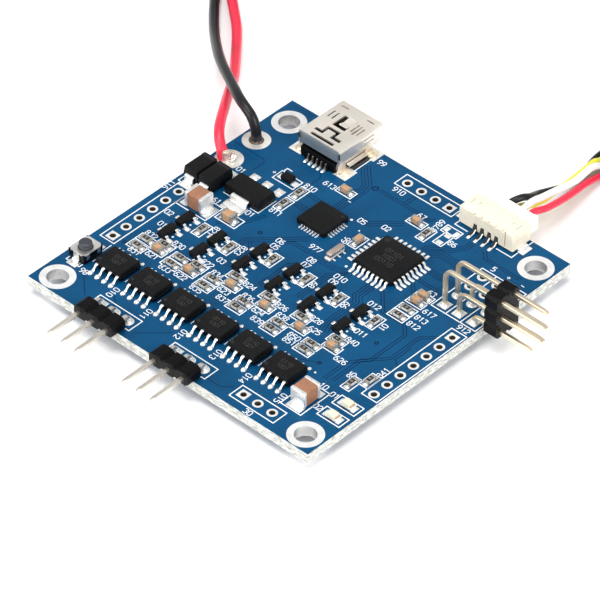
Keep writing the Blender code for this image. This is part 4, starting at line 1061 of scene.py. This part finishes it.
def header_outline(columns, rows, size):
    """Outline of a pin header block of the given size, notched between its cells."""
    points, notch = [], 0.5
    corners = (((0, 0), (1, 0), columns), ((columns, 0), (0, 1), rows), ((columns, rows), (-1, 0), columns),
               ((0, rows), (0, -1), rows))
    for (sx, sy), (dx, dy), count in corners:
        for i in range(count):
            for along in (notch, PITCH - notch):
                points.append((sx * PITCH + dx * (i * PITCH + along), sy * PITCH + dy * (i * PITCH + along)))
            if i + 1 < count:
                points.append((sx * PITCH + dx * (i + 1) * PITCH - dy * notch,
                               sy * PITCH + dy * (i + 1) * PITCH + dx * notch))
    wide, high = size[0] / columns / PITCH, size[1] / rows / PITCH
    return [((x - columns * PITCH / 2) * wide, (y - rows * PITCH / 2) * high) for x, y in points]


def square_pin(start, corner, end, radius):
    """A square pin with chamfered edges, a rounded bend and tapered ends."""
    start, corner, end = Vector(start), Vector(corner), Vector(end)
    first, last = (corner - start).normalized(), (end - corner).normalized()
    side = first.cross(last).normalized()
    path, share = [start, start + first * 0.18, start + first * 0.5], [0.5, 0.72, 1.0]
    centre = corner - first * radius + last * radius
    for i in range(9):
        a = math.pi / 2 * i / 8
        path.append(centre - last * radius * math.cos(a) + first * radius * math.sin(a))
        share.append(1.0)
    path += [end - last * 0.8, end - last * 0.7, end - last * 0.2, end]
    share += [1.0, 1.0, 0.76, 0.46]
    return sweep(path, bar(0.285, 0.285, 0.06), up=side, share=share)


def make_headers():
    z = TOP + 1.075  # of the motor pins' long legs
    outline = header_outline(3, 1, (7.1, 2.05))
    for number, x in enumerate(MOTOR_X, 1):
        header = f"motor_header_{number}"
        shape = Shape().add(loft([[(px, y, z + py) for px, py in outline] for y in (-26.5, -24.0)]))
        piece(f"{header}_block", shape, (BLOCK,), "black_moulding", f"{header}_housing", (x, 0, 0),
              bevel=0.07)
        pin = Shape().add(square_pin((0, MOTOR_Y, FLOOR), (0, MOTOR_Y, z), (0, -32.5, z), 0.7))
        for i in (1, 2, 3):
            piece(f"{header}_post_{i}", pin, (SILVERED,), "gold_plate", f"{header}_pin_{i}",
                  (x + (i - 2) * PITCH, 0, 0))
    levels = (TOP + 6.18, TOP + 3.64, TOP + 1.1)
    tips = ((36.0, 35.5, 33.8), (34.2, 34.2, 33.8))  # how far each pin reaches, row by row
    outline = header_outline(2, 3, (4.55, 6.8))
    shape = Shape().add(loft([[(x, py, levels[1] + pz) for py, pz in outline] for x in (26.2, 28.4)]))
    piece("servo_header_block", shape, (BLOCK,), "black_moulding", "servo_header_housing",
          (0, SERVO_Y + PITCH / 2, 0), bevel=0.07)
    for row in range(2):
        for column, name in enumerate(("signal", "supply", "ground")):
            x, level, bend = SERVO_X + column * PITCH, levels[column], 1.3 if column < 2 else 0.8
            pin = Shape().add(square_pin((x, 0, FLOOR), (x, 0, level), (tips[row][column], 0, level), bend))
            piece(f"servo_{name}_post_{row + 1}", pin, (GOLD,), "gold_plate", f"servo_{name}_pin_{row + 1}",
                  (0, SERVO_Y + row * PITCH, 0))


def make_button():
    at = (-23.0, -16.7, TOP + 0.05)
    half_x, half_y = 1.45, 1.75

    def boxed(outer_x, outer_y, corner=9.0):
        """Turns a ring's outer circles into a rectangle with cut corners and keeps its inner circles."""
        def reach(a, r):
            across = min(outer_x / max(abs(math.cos(a)), 1e-6), outer_y / max(abs(math.sin(a)), 1e-6), corner)
            return r if r < 1.4 else across
        return reach

    end = Shape().add(gull(1.5, 1.9, 2.06, 2.6, 0.42, 0.14, 1.1), 1, (0, 0, -0.05))
    end.add(copper(1.7, 1.7), 2, (0, 2.1, -0.05)).add(blob(0.6, 0.36, 0.16, 16, 3, -0.03), 2, (0, 2.5))
    shape = Shape().add(block(2 * half_x, 2 * half_y, 0.0, 0.4, 0.15, 0.05)).around(end, 2)
    shape.add(ring_about(ring_section(1.3, 2.0, 0.35, 1.25), 72, boxed(half_x, half_y)))
    piece("button_body", shape, (BLOCK, LEAD, TIN), "black_moulding", "button_base", at)

    out_x, out_y, thick = half_x + 0.025, half_y + 0.025, 0.06
    lid = ((1.03, 1.3), (2.0, 1.3), (2.0, 1.42), (1.96, 1.47), (1.08, 1.47), (1.03, 1.44))
    shape = Shape().add(ring_about(lid, 72, boxed(half_x + 0.03, half_y + 0.03, 2.06)))
    for sign in (-1, 1):
        for y in (-1.0, 1.0):
            shape.add(slab((sign * out_x - thick / 2, y - 0.3, 0.55), (thick, 0.6, 0.86)))
        shape.add(slab((-0.5, sign * out_y - thick / 2, 0.5), (1.0, thick, 0.9)))
        shape.pair(block(0.42, 0.3, 1.2, 1.44, 0.05, 0.03), 1, 1.25, sign * 1.68)
    piece("button_frame", shape, (COVER, BLOCK), "plated_steel", "button_cover", at)

    # A hollow underside over the dome, a flange under the lid and a crowned top
    cap = ((0.0, 1.05), (0.5, 1.03), (0.86, 0.95), (1.04, 0.83), (1.07, 0.8), (1.13, 0.8), (1.15, 0.86),
           (1.15, 1.14), (1.13, 1.2), (0.95, 1.2), (0.95, 1.95), (0.93, 2.1), (0.85, 2.21), (0.7, 2.27),
           (0.4, 2.3), (0.0, 2.3))
    piece("button_cap", Shape().add(lathe(cap, 40)), (PLUNGER,), "plunger_plastic", "button_plunger", at,
          body="button_plunger")
    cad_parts["button_dome"].material_slots[0].material = STEEL


# ---------------------------------------------------------------- sockets

def carve(solid, cutters):
    """The solid with the cutters taken out of it."""
    made = []
    for shape in (solid, cutters):
        mesh = bpy.data.meshes.new("carving")
        mesh.from_pydata(shape.verts, [], shape.faces)
        face_outwards(mesh)
        obj = bpy.data.objects.new("carving", mesh)
        bpy.context.scene.collection.objects.link(obj)
        made.append(obj)
    cut = made[0].modifiers.new("cut", "BOOLEAN")
    cut.operation, cut.solver, cut.object = "DIFFERENCE", "EXACT", made[1]
    cut.use_self = True
    bpy.context.view_layer.update()
    mesh = bpy.data.meshes.new_from_object(made[0].evaluated_get(bpy.context.evaluated_depsgraph_get()))
    result = Shape().add(([tuple(v.co) for v in mesh.vertices], [tuple(p.vertices) for p in mesh.polygons]))
    for obj in made:
        bpy.data.objects.remove(obj)
    return result


def mirrored(*half, radius):
    """A closed outline with rounded corners, from the points of its right half."""
    return fillet(half + tuple((-x, z) for x, z in reversed(half)), radius, 4, loop=True)


def make_usb():
    x0, rear, length, top = -13.5, 18.86, 8.74, 3.92
    outer = mirrored((3.1, 0.18), (3.3, 1.1), (3.83, 1.65), (3.83, top), radius=0.42)
    inner = mirrored((2.85, 0.45), (3.04, 1.2), (3.56, 1.75), (3.56, top - 0.28), radius=0.3)
    tube = Shape().add(loft([[(p.x, y, p.y) for p in line] for line, y in
                             ((outer, 0.0), (outer, length), (inner, length), (inner, 0.0))], loop=True))
    windows = (
        (-2.05, 0.32, 2.05, 0.86), (-2.35, 1.42, -0.8, 2.0), (0.55, 1.42, 2.3, 2.0), (-1.3, 1.9, -0.8, 3.1),
        (0.55, 1.9, 1.05, 3.1), (-1.3, 2.7, 1.05, 3.25), (-1.2, 3.8, 1.1, 6.5),
        (-2.95, 4.7, -2.68, 6.3), (-2.2, 4.7, -1.93, 6.3), (1.6, 4.3, 1.87, 6.2), (2.1, 4.0, 2.42, 6.2),
        (2.75, 4.3, 3.02, 6.0), (-3.0, 7.6, -1.7, 7.88), (1.7, 7.6, 3.0, 7.88),
    )
    cutters = Shape()
    for a, b, c, d in windows:
        cutters.add(slab((a, b, 2.6), (c - a, d - b, 2.2)))
    for x in (-3.7, 3.7):
        for z in (2.3, 3.0):
            cutters.add(slab((x - 0.4, 4.9, z), (0.8, 1.9, 0.22)))
    # The rear flap takes a shaded copy of the shell's finish, as painted shade.
    shell = carve(tube, cutters).add(block(6.9, 0.26, 1.85, 3.8, 0.1, 0.05), 3, (0, 0.14))
    for y in (0.05, 5.6):
        shell.pair(slab((-0.14, y, 0.0), (0.28, 1.5, 1.6)), 0, 3.35)
    shell.pair(strip(((6.6, top - 0.12), (5.4, top - 0.42), (4.8, top - 0.3)), 0.16, 0.3), 0, 2.4)
    shell.add(strip(((6.7, top - 0.1), (5.4, top - 0.3), (4.5, top)), 0.2, 1.45), 0, (0.25, 0))
    shell.add(strip(((8.72, top - 0.14), (length + 0.12, top)), 0.2, 5.8))
    for x, y in ((4.0, 0.8), (-4.0, 0.8), (4.1, 6.35), (-4.0, 6.35)):
        shell.add(blob(0.85, 0.95, 0.42, 20, 5), 1, (x, y))
    # Near-black blocks at the rear corners are painted shade.
    shell.pair(block(0.22, 0.16, 2.5, 3.45, 0.04, 0.03), 2, 3.72, -0.02)
    shell.pair(block(0.75, 3.7, 0.3, 0.46, 0.05, 0.04), 0, 3.6, 3.8)
    piece("usb_shell_body", shell, (STEEL, FLUX, PAINTED_SHADE, FLAP), "plated_steel", "usb_shell", (x0, rear, TOP),
          bevel=0.03)

    core = Shape().add(block(5.7, 2.4, 0.46, 3.3, 0.1, 0.06), 0, (0, 1.5))
    core.add(block(6.3, 0.7, 0.05, 1.5, 0.1, 0.06), 0, (0, -0.02))
    core.add(block(4.3, 5.4, 1.9, 2.55, 0.12, 0.06), 0, (0, 5.3))
    # The legs are in near-black metal as painted shade, and the feet in bright tin.
    leg = strip(((0.5, 1.0), (-0.3, 1.0), (-0.62, 0.11), (-1.15, 0.11)), 0.16, 0.3, 0.2)
    foot = strip(((-0.66, 0.12), (-1.18, 0.12)), 0.17, 0.31, 0.1)
    core.row(5, 0.8, (leg, 3, 0, 0), (foot, 1, 0, 0), (copper(0.42, 0.8), 2, 0, -0.9),
             (blob(0.22, 0.34, 0.16, 10, 3, 0.03), 2, 0, -1.1),
             (block(0.42, 3.6, 1.84, 1.92, 0.05, 0.02), 1, 0, 5.6))
    core.row(6, 0.8, (block(0.26, 0.5, 0.03, 0.9, 0.05, 0.05, draft=0.04), 0, 0, -0.5))
    # A near-black slab under the shell's side is painted shade.
    core.add(block(1.5, 3.5, 0.01, 0.12, 0.05, 0.02), 3, (3.75, 3.8))
    piece("usb_core_body", core, (BLOCK, LEAD, SOLDER, LEAD_IN_PAINTED_SHADE), "black_moulding", "usb_core",
          (x0, rear, TOP))


def make_sensor_socket():
    x0, front, pitch = 13.55, 22.5, 1.25
    cutters = Shape().add(slab((-4.15, 1.45, 0.6), (8.3, 4.0, 1.92)))
    cutters.row(4, pitch, (slab((-0.32, -0.5, -0.5), (0.64, 0.95, 1.9)), 0, 0, 0))
    cutters.row(5, pitch, (slab((0.25, -0.5, 2.72), (0.4, 0.75, 0.6)), 0, 0, 0))
    cutters.add(slab((3.3, -0.5, 0.4), (0.2, 0.75, 4.0)))
    cutters.pair(slab((-0.06, 1.4, 2.9), (0.12, 1.3, 0.5)), 0, 4.1)
    cutters.pair(slab((-0.06, 1.9, 2.9), (0.12, 0.8, 0.5)), 0, 3.0)
    body = carve(Shape().add(block(9.6, 3.8, 0.16, 3.05, 0.14, 0.18), 0, (0, 1.9)), cutters)
    # Each lead is a near-black strip as painted shade, with a narrow bright strip on its right side as a
    # painted highlight. Near-black plates in the slots are painted shade too.
    socket_lead_in_painted_shade = strip(((0.9, 1.15), (0.1, 1.15), (-0.4, 0.12), (-1.15, 0.12)), 0.2, 0.5, 0.3)
    painted_glint = strip(((-0.16, 0.66), (-0.3, 0.52), (-0.56, 0.2), (-1.3, 0.14)), 0.16, 0.15, 0.3)
    body.row(4, pitch, (slab((-0.3, 0.42, 0.06), (0.6, 0.04, 1.3)), 3, 0, 0), (socket_lead_in_painted_shade, 3, -0.04, 0),
             (painted_glint, 1, 0.26, 0), (copper(0.46, 0.7), 2, 0.06, -1.35),
             (blob(0.24, 0.3, 0.22, 14, 4, 0.03), 2, 0.08, -1.32),
             (strip(((1.2, 1.55), (3.3, 1.55)), 0.3, 0.34, 0.1), 1, 0, 0))
    body.pair(block(0.9, 1.7, 0.02, 0.42, 0.08, 0.05), 2, 4.95, 1.8)
    piece("sensor_socket_body", body, (NYLON, LEAD, SOLDER, PAINTED_SHADE), "natural_nylon", "sensor_socket",
          (x0, front, TOP), bevel=0.04)

    cutters = Shape().row(4, pitch, (slab((-0.53, 5.2, 0.9), (1.06, 2.0, 1.3)), 0, 0, 0),
                          (slab((-0.3, 4.3, 2.4), (0.6, 0.7, 0.6)), 0, 0, 0))
    plug = Shape().add(block(8.05, 2.2, 0.74, 2.38, 0.08, 0.05), 0, (0, 2.75))
    plug.include(carve(Shape().add(block(8.5, 1.95, 0.42, 2.62, 0.15, 0.1), 0, (0, 4.92)), cutters))
    plug.pair(block(0.5, 1.6, 2.56, 2.9, 0.1, 0.06), 0, 3.85, 4.9)
    piece("sensor_plug_body", plug, (WHITE_NYLON,), "natural_nylon", "sensor_plug", (x0, front, TOP + 0.05),
          bevel=0.05, body="sensor_plug")


def make_wire_ends():
    """Solder joints of the power wires: a bead on each pad, a cone below, and the red wire's bare strands."""
    black, red = POWER_PADS
    shape = Shape().add(lathe(((0.0, TOP + 0.1), (0.79, TOP + 0.1), (0.8, TOP + 0.3), (0.77, TOP + 0.75),
                               (0.6, TOP + 0.9), (0.0, TOP + 0.95)), 28, black))
    piece("black_wire_end", shape, (BLACK_PVC,), "black_insulation")
    for colour, at, wide in (("black", black, 0.85), ("red", red, 0.8)):
        shape = Shape().add(lathe(((0.0, FLOOR), (0.3, FLOOR + 0.03), (0.42, -0.9), (0.9, -0.3), (1.2, -0.02),
                                   (0.5, 0.0), (0.5, TOP), (wide, TOP + 0.04), (wide * 0.85, TOP + 0.12),
                                   (wide * 0.6, TOP + 0.2), (0.0, TOP + 0.24)), 28, at))
        piece(f"{colour}_wire_solder", shape, (SOLDER,), "solder", f"{colour}_wire_joint")
    shape = Shape().add(blob(1.1, 1.1, 0.26, 24, 5))
    for k in range(9):
        a = 2 * math.pi * k / 9
        reach = 0.76 + 0.08 * math.sin(3 * k)
        bead = blob(0.34 + 0.05 * math.cos(2 * k), 0.3, 0.36, low=0.0)
        shape.add(bead, 0, (reach * math.cos(a), reach * math.sin(a)))
    piece("black_wire_scorch", shape, (BURNT,), "solder", at=(*black, TOP))

    flap = smooth_route(((-24.0, 10.7, 2.8), (-23.75, 10.5, 2.2), (-23.62, 10.35, 1.64)), 0.2)
    arc = [math.pi * (0.02 + 0.096 * j) for j in range(11)]
    section = [(0.79 * math.cos(a), 0.79 * math.sin(a)) for a in arc]
    section += [(0.55 * math.cos(a), 0.55 * math.sin(a)) for a in reversed(arc)]
    share = [1.04 - 0.2 * (k / (len(flap) - 1)) ** 2 for k in range(len(flap))]
    shape = Shape().add(sweep(flap, section, up=(-0.725, -0.688, 0), share=share))
    piece("red_wire_flap", shape, (RED_PVC,), "red_insulation")

    shape = Shape()
    for k in range(7):
        a = 2 * math.pi * k / 7
        dx, dz = 0.3 * math.cos(a), 0.3 * math.sin(a)
        route = ((-24.0 + dx * 0.6, 10.62, 2.68 + dz), (-23.3 + dx * 0.8, 11.35 + dx * 0.5, 2.5 + dz),
                 (-22.6 + dx, 11.5 + dx * 0.6, 2.2 + dz * 0.7), (-22.35 + dx * 0.5, 10.9 + dz * 0.5, 1.95),
                 (-22.8 + dx * 0.3, 10.5 + dz * 0.4, 1.8), (-23.1, 10.9 + dz * 0.3, 1.76))
        shape.add(sweep(smooth_route(route, 0.16), bar(0.1, 0.1, 0.04), up=(0.1, 0.2, 1)))
    piece("wire_strands", shape, (STRANDS,), "solder")


for make in (make_print, make_traces, make_pads, make_small_parts, make_chips, make_power_parts, make_headers,
             make_button, make_usb, make_sensor_socket, make_wire_ends):
    make()

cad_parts["circuit_board"].material_slots[0].material = MASK
